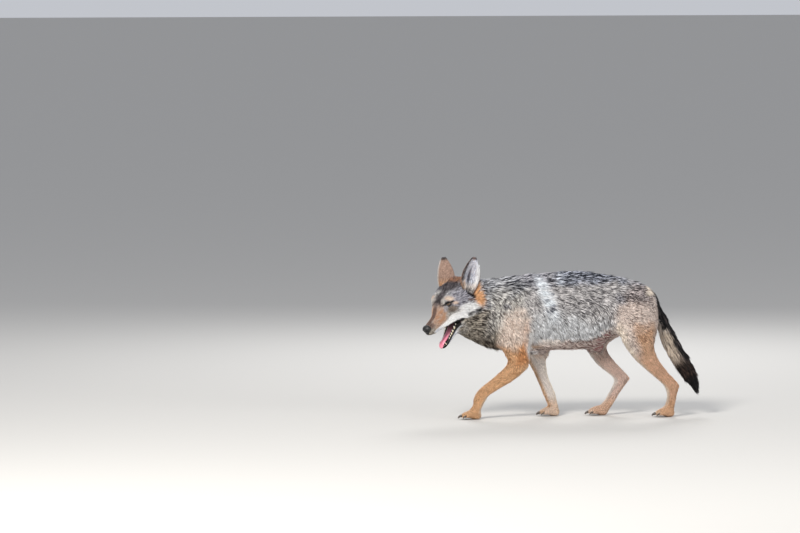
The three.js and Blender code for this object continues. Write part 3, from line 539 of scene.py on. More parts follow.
# the hair is shorter over the rump and thins out towards the end of the tail
tailRoot = share["tail"] * smoothStep(0.2, 0.05, tailRun)
rump = smoothStep(0.33, 0.38, places[:, 0]) * (share["trunk"] + share["upper"] + tailRoot)
coat["length"] *= 1 - 0.3 * np.clip(rump, 0, 1)
coat["depth"] *= 1 - 0.25 * np.clip(rump, 0, 1)
coat["depth"] *= 1 - 0.8 * share["tail"] * smoothStep(0.75, 1, tailRun)
coat["length"] *= 1 - 0.3 * share["tail"] * smoothStep(0.75, 0.95, tailRun)
coat["stand"] += 9 * share["tail"] * smoothStep(0.5, 0.75, tailRun)


# ---- the head's own forms: lids, lips and the roof of the mouth

lidSettings = {
    "gaze": (0.55, 0.80, 0.22),  # the way that the left eye faces
    "slant": (-0.82, 0.56, 0.02),  # from its inner corner to its outer one
    "halfLength": 11.0,
    "upperArch": 4.4,
    "lowerArch": 3.8,
    "lidRadius": 13.0,
    "hollowRadius": 9.0,
    "reach": (15, 25),  # the lids melt into the face between these distances
    "span": 32,  # half the width beside each eye that the lids may move
    "skinReach": (15.2, 13.6),  # distances from the eye over which the lids' own skin darkens
    "bareReach": (14.8, 13.4),  # and over which the hair stops
}


def eyeAxes(side):
    mirror = np.array([1, side, 1])
    gaze = unit(np.array(lidSettings["gaze"]) * mirror)
    slant = np.array(lidSettings["slant"]) * mirror
    slant = unit(slant - slant.dot(gaze) * gaze)
    above = np.cross(gaze, slant) * side
    above = above if above[2] > 0 else -above
    return np.array(headSettings["eye"]) * mirror, gaze, slant, above


def almond(along):
    # the heights of the upper and lower lid at a distance along the eye
    share = np.clip(along / lidSettings["halfLength"], -1, 1)
    upper = lidSettings["upperArch"] * (1 - np.abs(share) ** 2.2)
    lower = -lidSettings["lowerArch"] * (1 - np.abs(share) ** 1.8)
    return upper, lower


def shapeLids(local, side):
    middle, gaze, slant, above = eyeAxes(side)
    ray = local - middle
    distance = np.linalg.norm(ray, axis=1)
    facing = ray @ gaze / np.maximum(distance, 1e-6)
    along, height = ray @ slant, ray @ above
    scale = lidSettings["lidRadius"] / np.maximum(distance, 1e-6)
    upper, lower = almond(along * scale)
    inside = (np.abs(along * scale) < lidSettings["halfLength"]) & (height * scale < upper)
    inside = inside & (height * scale > lower)
    radius = np.where(inside, lidSettings["hollowRadius"], lidSettings["lidRadius"])
    inner, outer = lidSettings["reach"]
    near = smoothStep(outer, inner, distance) * smoothStep(0.1, 0.45, facing)
    target = middle + ray * (radius / np.maximum(distance, 1e-6))[:, None]
    return local + (target - local) * near[:, None], near, inside & (near > 0.5)


def shapeHead(places):
    local = intoHead(places)
    hollow = np.zeros(len(local), dtype=bool)
    lids = np.zeros(len(local))
    for side in (1, -1):
        chosen = np.abs(local[:, 1] - headSettings["eye"][1] * side) < lidSettings["span"]
        moved, near, inside = shapeLids(local[chosen], side)
        local[chosen] = moved
        lids[chosen] = np.maximum(lids[chosen], near)
        hollow[chosen] |= inside
    return fromHead(local), lids, hollow


# how far each point lies from the rims of the lips, and whether it is inside the mouth
jawX, jawZ = jaw[:, 0], jaw[:, 2]
aheadOfCorner = smoothStep(-26, -14, headX)
facesDown = -(normals @ headTurned.T)[:, 2]
jawUp = swingJaw((normals @ headTurned.T) + np.array(headSettings["jawJoint"]), -headSettings["gape"])
facesUp = (jawUp - np.array(headSettings["jawJoint"]))[:, 2]
upperGap = headZ - upperLipHeight(headX)
lowerGap = lowerLipHeight(jawX) - jawZ


def insideLip(gap, facing, owner):
    # 1 on the face of the mouth's opening
    return aheadOfCorner * smoothStep(3.5, 1, np.abs(gap)) * smoothStep(0.5, 0.8, facing) * (owner > 0.3)


upperInside = insideLip(upperGap, facesDown, share["head"])
lowerInside = insideLip(lowerGap, facesUp, share["jaw"])
mouth = np.clip(upperInside + lowerInside, 0, 1)
lipBand = aheadOfCorner * np.maximum(
    smoothStep(5.0, 1.5, np.abs(upperGap)) * (share["head"] > 0.4),
    smoothStep(13.0, 8.5, np.abs(lowerGap)) * (share["jaw"] > 0.4),
)
cornerGap = np.hypot(headX - headSettings["mouthCorner"][0], headZ - headSettings["mouthCorner"][1])
lipBand = np.maximum(lipBand, smoothStep(10, 6, cornerGap) * share["face"])


def aimLocks(outside, roots):
    # the way from each root to the place where its tip reaches the outside of the coat
    faces = [face.vertices for face in skinMesh.polygons]
    tree = BVHTree.FromPolygons([Vector(place) for place in outside], faces)
    ahead = outside + lay * (coat["length"] * mm)[:, None]
    tips = np.array([tree.find_nearest(Vector(place))[0] for place in ahead])
    tips = tips + normals * (coat["stand"] * mm)[:, None]
    return unit(skinNet.smooth(unit(tips - roots), 4))


# how far two kinds of streak run on along the hair: the pale ones and those of single locks
streakWays = {"pale": {"rounds": 12, "seed": 11}, "locks": {"rounds": 9, "seed": 5}}


def streaksAlong(ways, rounds, seed):
    # noise that runs on along the hair, evenly spread between 0 and 1
    steps = unit(places[skinNet.there] - places[skinNet.here])
    weights = np.abs((steps * ways[skinNet.here]).sum(axis=1)) ** 8 + 1e-4
    totals = np.bincount(skinNet.here, weights, skinNet.size)
    values = np.random.default_rng(seed).normal(size=skinNet.size)
    for _ in range(rounds):
        drawn = np.bincount(skinNet.here, weights * values[skinNet.there], skinNet.size) / totals
        values = 0.5 * (values + drawn)
    return values.argsort().argsort() / skinNet.size


coat["depth"] *= 1 - np.clip(mouth + lipBand, 0, 1)
outside = places
places = places - normals * (coat["depth"] * mm)[:, None]
aim = aimLocks(outside, places)
tailTip = share["tail"] * smoothStep(0.84, 0.95, tailRun)
aim = unit(aim + 3 * tailTip[:, None] * alongLine(places, tailLine)[0])
palerStreak = streaksAlong(lay, **streakWays["pale"])
streak = 0.5 + (streaksAlong(lay, **streakWays["locks"]) - 0.5) * (1 - 0.7 * share["face"])
places, lids, eyeHollow = shapeHead(places)

# the skin under the nose's pad is pushed in, and its hair stops a little further out
noseHollow = {"reach": (18, 13), "depth": 8, "bareReach": (19, 15)}
noseMiddle = intoHead(boxMiddle("nose")[None])[0]
underNose = np.linalg.norm(head - noseMiddle, axis=1)
places = places - normals * (smoothStep(*noseHollow["reach"], underNose) * noseHollow["depth"] * mm)[:, None]
movePoints(skinMesh, places)
normals = normalsOf(skinMesh)
print("skin drawn in under its coat")


# ---- markings: the pale and the dark hair of each, and the share of the hair that is dark

hairColours = {
    "flank": ((220, 216, 215), (100, 97, 99), 0.44),
    "silver": ((232, 233, 235), (118, 116, 116), 0.30),
    "saddle": ((200, 204, 217), (32, 35, 44), 0.60),
    "withers": ((196, 194, 200), (50, 50, 60), 0.52),
    "nape": ((214, 215, 219), (52, 53, 60), 0.54),
    "neck": ((228, 224, 218), (98, 93, 90), 0.44),
    # the throat's own grey-brown hair, made darker as painted shade under the head
    "shadedThroat": ((190, 180, 165), (62, 54, 47), 0.56),
    "slash": ((246, 251, 255), (158, 168, 184), 0.08),
    "shoulder": ((250, 232, 219), (186, 160, 144), 0.28),
    "tawny": ((236, 190, 146), (176, 126, 84), 0.32),
    "rufous": ((214, 150, 98), (152, 98, 60), 0.32),
    "rump": ((206, 194, 192), (62, 56, 57), 0.52),
    "thigh": ((230, 214, 204), (140, 120, 111), 0.32),
    "tan": ((224, 184, 152), (146, 108, 82), 0.36),
    "shin": ((224, 182, 152), (180, 138, 108), 0.24),
    "cream": ((244, 232, 216), (196, 178, 158), 0.16),
    "pale": ((240, 230, 222), (198, 184, 174), 0.14),
    "pinkish": ((228, 202, 190), (176, 146, 134), 0.22),
    "white": ((254, 253, 252), (228, 225, 222), 0.06),
    "bellyHair": ((230, 214, 206), (112, 82, 74), 0.42),
    "forehead": ((112, 104, 107), (34, 29, 33), 0.56),
    "temple": ((188, 186, 194), (84, 81, 91), 0.44),
    "bridge": ((146, 118, 106), (66, 50, 46), 0.46),
    "muzzle": ((204, 158, 126), (146, 108, 86), 0.28),
    "lip": ((218, 220, 228), (150, 152, 162), 0.18),
    "rust": ((176, 128, 98), (70, 48, 40), 0.44),
    "orange": ((232, 180, 132), (182, 128, 84), 0.24),
    "beige": ((222, 196, 176), (168, 140, 122), 0.20),
    "underEye": ((148, 134, 122), (78, 68, 62), 0.40),
    "black": ((48, 43, 45), (14, 13, 15), 0.75),
    "tailSide": ((214, 200, 184), (112, 98, 88), 0.30),
    "tailTop": ((84, 76, 76), (18, 16, 19), 0.75),
    "tailEnd": ((96, 76, 66), (26, 20, 19), 0.66),
    "earBack": ((200, 168, 150), (126, 98, 84), 0.30),
    "earEdge": ((92, 84, 84), (28, 26, 29), 0.60),
    "earInner": ((240, 243, 252), (140, 146, 166), 0.28),
    # painted shade of the ear's canal, dark in the middle of the hollow
    "earCanalShade": ((104, 104, 116), (46, 47, 56), 0.50),
}
colours = {name: (rgb(*pale), rgb(*dark), share) for name, (pale, dark, share) in hairColours.items()}


class Paint:
    # lays one marking over another, at each point of the skin
    def __init__(self, size, first):
        root, tip, dark = colours[first]
        self.root = np.tile(root, (size, 1))
        self.tip = np.tile(tip, (size, 1))
        self.dark = np.full(size, dark)

    def lay(self, name, amount):
        root, tip, dark = colours[name]
        amount = np.clip(amount, 0, 1)
        self.root += (root - self.root) * amount[:, None]
        self.tip += (tip - self.tip) * amount[:, None]
        self.dark += (dark - self.dark) * amount


def spot(local, middle, size, soft=0.35):
    # 1 inside a soft-edged ball or oval
    reach = np.linalg.norm((local - np.array(middle)) / np.array(size), axis=1)
    return smoothStep(1 + soft, 1 - soft, reach)


def stripe(local, start, end, width):
    # 1 on a soft-edged line from one place to another
    start, run = np.array(start, dtype=float), np.subtract(end, start).astype(float)
    along = np.clip((local - start) @ run / run.dot(run), 0, 1)
    gap = np.linalg.norm(local - start - along[:, None] * run, axis=1)
    return smoothStep(width, width * 0.4, gap)


def waves(points, size, seed):
    # smooth noise from a few sines, between about -1 and 1
    maker = np.random.default_rng(seed)
    total = np.zeros(len(points))
    for _ in range(7):
        way = unit(maker.normal(size=3)) * 2 * math.pi / (size * maker.uniform(0.6, 1.6))
        total += np.sin(points @ way + maker.uniform(0, 2 * math.pi))
    return total / 3.5


def oval(across, up, middle, size, lean=0.0, soft=0.4):
    # 1 inside a soft-edged oval seen from the side, leaning back by so many degrees
    turn = math.radians(lean)
    dx, dz = across - middle[0], up - middle[1]
    along = (dx * math.cos(turn) - dz * math.sin(turn)) / size[0]
    square = (dx * math.sin(turn) + dz * math.cos(turn)) / size[1]
    return smoothStep(1 + soft, 1 - soft, np.hypot(along, square))


# heights at places along the body, from the nape to the rump
sideLines = {
    "x": (-0.30, -0.20, -0.12, -0.02, 0.05, 0.12, 0.20, 0.30, 0.36),
    "saddle": (0.600, 0.590, 0.592, 0.560, 0.560, 0.574, 0.578, 0.566, 0.530),
    "silver": (0.30, 0.36, 0.44, 0.45, 0.43, 0.42, 0.42, 0.40, 0.30),
}


def paintBody(paint, at):
    x, _, z = at.T
    ragged = waves(at * (1, 0.5, 1), 0.06, 3)
    body = share["trunk"] + share["neck"] + share["upper"] + share["tail"]
    saddleLine, silverLine = (np.interp(x, sideLines["x"], sideLines[key]) for key in ("saddle", "silver"))
    ragHeight = ragged * 0.012
    paint.lay("silver", smoothStep(0.05, -0.03, z - silverLine + ragHeight) * smoothStep(-0.16, -0.10, x))
    forward = smoothStep(-0.13, -0.20, x + ragged * 0.01)
    paint.lay("neck", forward)
    paint.lay("nape", forward * smoothStep(0.50, 0.56, z + ragHeight))
    # painted shade: the lower neck under the head takes the darkened throat colour
    paint.lay("shadedThroat", forward * smoothStep(0.43, 0.36, z + ragged * 0.015))
    paint.lay("withers", oval(x, z, (-0.15, 0.585), (0.10, 0.030), 10) * body)
    above = smoothStep(-0.018, 0.014, z - saddleLine + ragHeight)
    paint.lay("saddle", above * smoothStep(-0.09, -0.02, x) * body)
    paint.lay("rump", oval(x, z, (0.32, 0.50), (0.07, 0.06)) * body)
    paint.lay("withers", oval(x, z, (0.240, 0.500), (0.034, 0.018), 40) * 0.8)
    slash = np.abs(x + 0.106 - (0.558 - z) * 0.5) / 0.024
    fade = smoothStep(0.600, 0.570, z) * smoothStep(0.40, 0.47, z)
    streaky = 0.5 + 0.5 * smoothStep(0.2, 0.6, palerStreak)
    paint.lay("slash", smoothStep(1.7, 0.1, slash + ragged * 0.35) * fade * streaky)
    upperSpot = oval(x, z, (-0.026, 0.578), (0.016, 0.022), 20)
    paint.lay("slash", upperSpot * smoothStep(0.3, 0.7, palerStreak) * 0.8)
    paint.lay("withers", oval(x, z, (-0.060, 0.475), (0.012, 0.016), 20) * 0.7)
    paint.lay("withers", oval(x, z, (-0.238, 0.484), (0.016, 0.012), 0) * 0.7)
    paint.lay("cream", oval(x, z, (0.362, 0.537), (0.020, 0.024), -40) * body * 0.9)
    topLine = smoothStep(0.588, 0.602, z + ragged * 0.006)
    paint.lay("withers", topLine * smoothStep(-0.27, -0.22, x) * smoothStep(0.0, -0.06, x) * 0.8)
    paint.lay("bellyHair", zones["belly"])
    paint.lay("pale", oval(x, z, (-0.055, 0.335), (0.06, 0.02)) * share["trunk"] * 0.8)


def paintLegs(paint, at):
    x, y, z = at.T
    outer = smoothStep(-0.25, 0.3, np.sign(y) * normals[:, 1])
    fore = sum(share[part] for part in parts if part.startswith("fore"))
    hind = sum(share[part] for part in parts if part.startswith("hind"))
    behind = smoothStep(0.35, 0.8, normals[:, 0])
    ahead = smoothStep(-0.3, -0.8, normals[:, 0])
    ragged = waves(at, 0.05, 8) * 0.012
    # the shoulder and the fore leg
    blade = smoothStep(0.505, 0.42, z + ragged) * smoothStep(-0.268, -0.215, x + 0.25 * (0.47 - z))
    blade = blade * smoothStep(-0.118, -0.172, x + ragged)
    paint.lay("shoulder", blade * outer * (fore + share["trunk"] * 0.9 + share["neck"] * 0.9) * 0.92)
    paint.lay("rufous", fore * outer * oval(x, z, (-0.156, 0.36), (0.014, 0.06), 5) * 0.25)
    paint.lay("tawny", fore * smoothStep(0.345, 0.285, z + ragged))
    paint.lay("rufous", fore * outer * oval(x, z, (-0.160, 0.285), (0.030, 0.055), 20) * 0.8)
    paint.lay("pale", fore * (1 - outer) * smoothStep(0.42, 0.36, z) * (1 - ahead * 0.85))
    paint.lay("cream", fore * behind * smoothStep(0.24, 0.20, z) * 0.7)
    paint.lay("white", fore * behind * smoothStep(0.40, 0.37, z) * smoothStep(0.26, 0.30, z) * 0.9)
    paint.lay("white", fore * oval(x, z, (-0.133, 0.315), (0.010, 0.065)) * 0.9)
    # the thigh and the hind leg
    paint.lay("thigh", hind * smoothStep(0.52, 0.46, z + ragged))
    rearOfThigh = smoothStep(0.27, 0.31, x - 0.35 * (0.40 - z))
    paint.lay("tan", hind * outer * smoothStep(0.43, 0.36, z + ragged) * rearOfThigh)
    paint.lay("shin", hind * smoothStep(0.30, 0.22, z))
    paint.lay("cream", hind * ahead * smoothStep(0.45, 0.38, z) * 0.8)
    paint.lay("pinkish", hind * (1 - outer) * smoothStep(0.44, 0.36, z) * 0.9)
    paint.lay("pale", hind * (1 - outer) * ahead * smoothStep(0.36, 0.30, z) * 0.9)
    paint.lay("thigh", hind * behind * smoothStep(0.30, 0.36, z) * 0.9)
    paint.lay("rufous", hind * behind * smoothStep(0.20, 0.15, z) * smoothStep(0.06, 0.12, z) * 0.5)
    paint.lay("tawny", (fore + hind) * smoothStep(0.10, 0.05, z) * 0.5)


# how far back the dark band at the root of the tail begins, at heights up the rump
rearLine = {"z": (0.40, 0.43, 0.46, 0.49, 0.52, 0.55), "x": (0.430, 0.424, 0.414, 0.402, 0.386, 0.364)}


def paintTail(paint, at):
    tail = share["tail"]
    top = smoothStep(0.10, 0.45, normals[:, 0] * 0.9 + normals[:, 2] * 0.45 + waves(at, 0.04, 4) * 0.12)
    x, y, z = at.T
    rear = np.interp(z, rearLine["z"], rearLine["x"])
    base = smoothStep(-0.006, 0.006, x - rear) * smoothStep(0.38, 0.40, z)
    base = base * smoothStep(0.050, 0.030, np.abs(y))
    paint.lay("tailTop", base * (share["trunk"] + tail))
    paint.lay("tailSide", tail * smoothStep(0.04, 0.12, tailRun) * (1 - base))
    paint.lay("tailTop", tail * top * smoothStep(0.06, 0.16, tailRun))
    paint.lay("tailEnd", tail * smoothStep(0.60, 0.74, tailRun + waves(at, 0.05, 5) * 0.04))
    paint.lay("black", tail * smoothStep(0.82, 0.92, tailRun))


# the plane of the cheek, in the head's axes; markings on it are given in millimetres from the eye
cheekPlane = {"across": (-0.595, 0.72, -0.358), "up": (-0.557, -0.03, 0.83)}


def paintHead(paint):
    face, skull = share["face"], share["head"]
    local = np.stack([headX, headY, headZ], axis=-1)
    fromEye = local - np.array(headSettings["eye"])
    across, up = fromEye @ np.array(cheekPlane["across"]), fromEye @ np.array(cheekPlane["up"])
    flat = np.stack([across, up], axis=-1)

    def patch(name, middle, size, lean=0, amount=1.0, soft=0.4):
        paint.lay(name, skull * oval(across, up, middle, size, lean, soft) * amount)

    def stroke(name, start, end, width, amount=1.0):
        paint.lay(name, skull * stripe(flat, start, end, width) * amount)

    paint.lay("nape", face * smoothStep(-30, -60, headX))
    paint.lay("temple", face * spot(local, (-50, 56, 2), (66, 40, 44)))
    patch("forehead", (-4, 78), (46, 28), amount=0.95)
    patch("forehead", (-54, 38), (32, 48), amount=0.85)
    crown = smoothStep(26, 12, headY) * smoothStep(44, 30, headX) * smoothStep(-4, 8, headZ)
    paint.lay("forehead", skull * crown * 0.8)
    paint.lay("rust", face * spot(local, (-118, 18, 40), (28, 34, 24)) * 0.85)
    patch("rust", (8, 102), (40, 14), amount=0.6)
    behindEar = (skull + share["neck"]) * smoothStep(-165, -145, headX)
    paint.lay("orange", np.clip(behindEar, 0, 1) * oval(across, up, (112, 30), (21, 46), -15))
    # the muzzle: rusty sides, a darker bridge and dark fur round the nose
    mottled = 0.85 + 0.25 * waves(local, 16, 6)
    patch("muzzle", (-38, -58), (29, 46), 6, mottled, 0.5)
    ridge = smoothStep(13, 7, headY) * smoothStep(30, 50, headX) * smoothStep(-52, -40, headZ)
    paint.lay("bridge", skull * ridge)
    patch("bridge", (-76, -92), (16, 14), amount=0.9)
    # the white runs from under the nose along the lip to the cheek
    lipLine = np.interp(headX, (-90, -40, 0, 40, 120), (-52, -44, -46, -54, -58))
    band = smoothStep(lipLine + 5, lipLine - 4, headZ) * smoothStep(126, 112, headX)
    band = band * smoothStep(-62, -48, headX)
    band = band * np.maximum(smoothStep(-92, -82, headZ), smoothStep(-10, 10, headX))
    paint.lay("white", face * band)
    paint.lay("lip", face * band * smoothStep(70, 100, headX) * 0.8)
    patch("underEye", (12, -24), (19, 12), -20)
    patch("temple", (-13, -20), (9, 14), amount=0.7)
    patch("white", (78, -17), (36, 17), -8)
    paint.lay("black", (skull + share["neck"]) * stripe(flat, (72, -46), (120, -22), 8) * 0.85)
    stroke("black", (66, 50), (93, 26), 9)
    patch("rust", (78, 12), (9, 5), amount=0.7)
    # round the eye: pale spots above it and at its ends, and dark lines
    patch("beige", (0, 19), (19, 8), 12)
    patch("cream", (3, 18), (11, 4), 12, 0.6)
    patch("beige", (23, 0), (9, 6), amount=0.9)
    patch("pale", (-26, 13), (6, 5), amount=0.5)
    patch("black", (-1, 0), (13, 9), -8, soft=0.25)
    stroke("black", (-13, 1), (17, 7), 4.5, 0.9)
    stroke("black", (-8, -3), (-25, -10), 5.5, 0.8)
    stroke("black", (-38, 44), (-42, 12), 5, 0.5)
    stroke("black", (-42, 12), (-33, -12), 5, 0.55)
    paint.lay("lip", share["jaw"] * 0.8)
    # painted shade: under the jaw and the back of the skull the darkened throat colour is laid
    paint.lay("shadedThroat", share["jaw"] * smoothStep(50, 26, jawX) * smoothStep(-80, -92, jawZ))
    paint.lay("shadedThroat", share["head"] * smoothStep(4, -22, headX) * smoothStep(-80, -94, headZ))


paint = Paint(len(places), "flank")
paintBody(paint, places)
paintLegs(paint, places)
paintTail(paint, places)
paintHead(paint)

tints = {
    "mouth": (168, 96, 98),
    "palate": (96, 58, 60),
    "lip": (20, 17, 18),
    "bareBelly": (158, 114, 106),
    "groin": (148, 106, 105),
    "lid": (28, 22, 22),
}
groin = smoothStep(0.10, 0.16, places[:, 0]) * smoothStep(0.28, 0.23, places[:, 0]) * zones["belly"]
eyeGap = np.hypot(headX - headSettings["eye"][0], headY - headSettings["eye"][1])
lidSkin = smoothStep(0.98, 1.0, lids) * smoothStep(*lidSettings["skinReach"], eyeGap)


def skinTint():
    # the skin shows darker than its hair, and bare on the belly, the lids and the mouth
    tint = paint.root + (paint.tip - paint.root) * (0.30 + paint.dark * 0.45)[:, None]
    tint = tint * (0.62 + 0.30 * zones["muzzle"] + 0.15 * share["lower"])[:, None]
    for name, amount in (
        ("bareBelly", zones["belly"] * smoothStep(-0.12, 0.0, places[:, 0]) * 0.8),
        ("groin", groin),
        ("mouth", lowerInside),
        ("palate", upperInside),
        ("lip", lipBand),
        ("lid", lidSkin),
    ):
        tint = tint + (rgb(*tints[name]) - tint) * np.clip(amount, 0, 1)[:, None]
    return tint


wet = np.clip(mouth + lipBand * 0.8, 0, 1)
store(skinMesh, "tint", skinTint())
store(skinMesh, "wet", wet)
skin = newObject("skin", skinMesh)
print("markings laid on")


# ---- materials

class Nodes:
    # a short way to write a node tree
    def __init__(self, tree):
        self.tree = tree

    def add(self, kind, **settings):
        node = self.tree.nodes.new(kind)
        inputs = settings.pop("inputs", {})
        for key, value in settings.items():
            setattr(node, key, value)
        for key, value in inputs.items():
            self.feed(node, key, value)
        return node

    def feed(self, node, key, value):
        socket = node.inputs[key]
        if isinstance(value, bpy.types.NodeSocket):
            self.tree.links.new(value, socket)
        else:
            socket.default_value = value


def newMaterial(name, roughness, specular=0.4, coatWeight=0.0, coatRoughness=0.1, sheen=0.0):
    material = bpy.data.materials.new(name)
    material.use_nodes = True
    shader = material.node_tree.nodes["Principled BSDF"]
    keys = ("Roughness", "Specular IOR Level", "Coat Weight", "Coat Roughness", "Sheen Weight")
    for key, value in zip(keys, (roughness, specular, coatWeight, coatRoughness, sheen)):
        shader.inputs[key].default_value = value
    return material, Nodes(material.node_tree), shader


def attributeOf(write, name, output="Fac"):
    return write.add("ShaderNodeAttribute", attribute_name=name).outputs[output]


def plainColour(red, green, blue):
    return (*rgb(red, green, blue), 1)


def scaled(write, colour, share):
    node = write.add("ShaderNodeVectorMath", operation="SCALE")
    write.feed(node, 0, colour)
    write.feed(node, "Scale", share)
    return node.outputs["Vector"]


def mixed(write, first, second, share, blend="MIX"):
    node = write.add("ShaderNodeMix", data_type="RGBA", blend_type=blend)
    for index, value in ((0, share), (6, first), (7, second)):
        write.feed(node, index, value)
    return node.outputs[2]


def ranged(write, value, low, high, toLow, toHigh):
    node = write.add("ShaderNodeMapRange", interpolation_type="SMOOTHSTEP")
    keys = ("Value", "From Min", "From Max", "To Min", "To Max")
    for key, setting in zip(keys, (value, low, high, toLow, toHigh)):
        write.feed(node, key, setting)
    return node.outputs["Result"]


def noise(write, scale, detail=3.0, roughness=0.55, vector=None):
    node = write.add("ShaderNodeTexNoise", inputs={"Scale": scale, "Detail": detail, "Roughness": roughness})
    place = vector or write.add("ShaderNodeTexCoord").outputs["Object"]
    write.feed(node, "Vector", place)
    return node.outputs["Fac"]


def bump(write, shader, height, strength, distance):
    node = write.add("ShaderNodeBump", inputs={"Height": height, "Strength": strength, "Distance": distance})
    write.feed(shader, "Normal", node.outputs["Normal"])


def math2(write, operation, first, second):
    node = write.add("ShaderNodeMath", operation=operation)
    write.feed(node, 0, first)
    write.feed(node, 1, second)
    return node.outputs[0]


def skinMaterial():
    material, write, shader = newMaterial("skin_under_coat", 0.7, specular=0.3)
    tint = attributeOf(write, "tint", "Color")
    fine = noise(write, 900.0, 2.0)
    mottled = ranged(write, fine, 0.3, 0.7, 0.72, 1.18)
    write.feed(shader, "Base Color", scaled(write, tint, mottled))
    write.feed(shader, "Roughness", ranged(write, attributeOf(write, "wet"), 0.0, 1.0, 0.78, 0.28))
    bump(write, shader, fine, 0.5, 0.0008)
    return material


def coatMaterial():
    material, write, shader = newMaterial("wolf_coat", 0.62, specular=0.25)
    root, tip = (attributeOf(write, name, "Color") for name in ("coatRoot", "coatTip"))
    dark, grain = (attributeOf(write, name) for name in ("dark", "grain"))
    leaf = write.add("ShaderNodeSeparateXYZ", inputs={"Vector": attributeOf(write, "leaf", "Vector")})
    along = leaf.outputs["Y"]
    # where the grain passes the share of pale hair, the lock turns dark from near its middle
    ink = ranged(write, math2(write, "ADD", grain, dark), 0.82, 1.18, 0.0, 1.0)
    start = math2(write, "SUBTRACT", 1.15, math2(write, "MULTIPLY", ink, 0.85))
    share = ranged(write, math2(write, "SUBTRACT", along, start), -0.14, 0.14, 0.0, 1.0)
    colour = mixed(write, root, tip, share)
    # painted shade: each lock darkens towards its root, as shade deep in the coat; tone is each lock's own
    # random brightness
    rootShade = ranged(write, along, 0.0, 0.45, 0.5, 1.0)
    tone = ranged(write, attributeOf(write, "grainTwo"), 0.0, 1.0, 0.82, 1.15)
    light = math2(write, "MULTIPLY", rootShade, tone)
    write.feed(shader, "Base Color", scaled(write, colour, light))
    return material


skinMesh.materials.append(skinMaterial())
wolfCoat = coatMaterial()
print("skin and coat materials made")


# ---- closed shapes gathered into one mesh

class Batch:
    # closed shapes and the values at their points, to become one mesh
    def __init__(self):
        self.points, self.faces, self.values, self.count = [], [], {}, 0

    def add(self, shape, **values):
        points, faces = shape
        self.faces += [tuple(index + self.count for index in face) for face in faces]
        self.points.append(np.asarray(points, dtype=float))
        self.count += len(points)
        for key, value in values.items():
            self.values.setdefault(key, []).append(np.asarray(value, dtype=float))

    def mesh(self, name):
        mesh = meshFrom(name, np.vstack(self.points), self.faces)
        for key, rows in self.values.items():
            store(mesh, key, np.concatenate(rows))
        work = bmesh.new()
        work.from_mesh(mesh)
        bmesh.ops.recalc_face_normals(work, faces=work.faces)
        work.to_mesh(mesh)
        work.free()
        return mesh


def loft(rings):
    # a closed skin over rings of equal count, each end closed by a fan
    rings = np.asarray(rings, dtype=float)
    count, sides = rings.shape[:2]
    points = np.vstack([rings.reshape(-1, 3), rings[0].mean(axis=0), rings[-1].mean(axis=0)])
    faces = []
    for row in range(count - 1):
        for side in range(sides):
            near, beside = row * sides + side, row * sides + (side + 1) % sides
            faces.append((near, beside, beside + sides, near + sides))
    first, last = count * sides, count * sides + 1
    for side in range(sides):
        faces.append((side, first, (side + 1) % sides))
        faces.append(((count - 1) * sides + side, (count - 1) * sides + (side + 1) % sides, last))
    return points, faces


def closedTube(path, radii, sides):
    # a tube round a path that meets itself
    path = np.asarray(path, dtype=float)
    along = unit(np.roll(path, -1, axis=0) - np.roll(path, 1, axis=0))
    outward = unit(path - path.mean(axis=0))
    other = unit(np.cross(along, outward))
    turns = turnsOf(sides)
    points = [
        path[i] + radii[i] * (math.cos(turn) * outward[i] + math.sin(turn) * other[i])
        for i in range(len(path)) for turn in turns
    ]
    faces = []
    for row in range(len(path)):
        after = (row + 1) % len(path)
        for side in range(sides):
            beside = (side + 1) % sides
            ring, further = row * sides, after * sides
            faces.append((ring + side, ring + beside, further + beside, further + side))
    return np.array(points), faces


def spike(path, radii, sides, flatness=1.0):
    # a horn or tooth: rings across the path, flattened from side to side
    path = np.asarray(path, dtype=float)
    along = unit(np.gradient(path, axis=0))
    across = np.array([0, 1.0, 0])
    rings = []
    for point, way, radius in zip(path, along, radii):
        outward = unit(np.cross(way, across))
        ring = [
            point + radius * (flatness * math.cos(turn) * across + math.sin(turn) * outward)
            for turn in turnsOf(sides)
        ]
        rings.append(ring)
    return loft(rings)


# ---- eyes and the dark rims of their lids

eyeSettings = {
    "cornea": 1.0,  # millimetres that the cornea stands proud of the ball
    "corneaReach": 34,  # degrees from the eye's axis
    "pupil": 13,
    "iris": 31,
    "rows": 40,
    "columns": 40,
}
rimSettings = {"steps": 56, "sides": 7, "upper": 1.5, "lower": 0.95, "proud": 0.1}


def eyeball(side):
    middle, gaze, slant, above = eyeAxes(side)
    angles = np.linspace(0.02, math.pi - 0.02, eyeSettings["rows"])
    turns = turnsOf(eyeSettings["columns"])
    rings, away = [], []
    for angle in angles:
        bulge = eyeSettings["cornea"] * smoothStep(eyeSettings["corneaReach"], 0, math.degrees(angle))
        radius = headSettings["eyeRadius"] + bulge
        ring = []
        for turn in turns:
            outward = math.cos(turn) * slant + math.sin(turn) * above
            ring.append(middle + radius * (math.cos(angle) * gaze + math.sin(angle) * outward))
        rings.append(ring)
        away += [math.degrees(angle)] * len(turns)
    points, faces = loft(rings)
    return (fromHead(points), faces), np.array(away + [0, 180])


def evenRadii(radii):
    # evens out a ring of radii so that it has no steps
    radii = np.array(radii, dtype=float)
    for _ in range(4):
        radii = (np.roll(radii, 1) + 2 * radii + np.roll(radii, -1)) / 4
    return radii


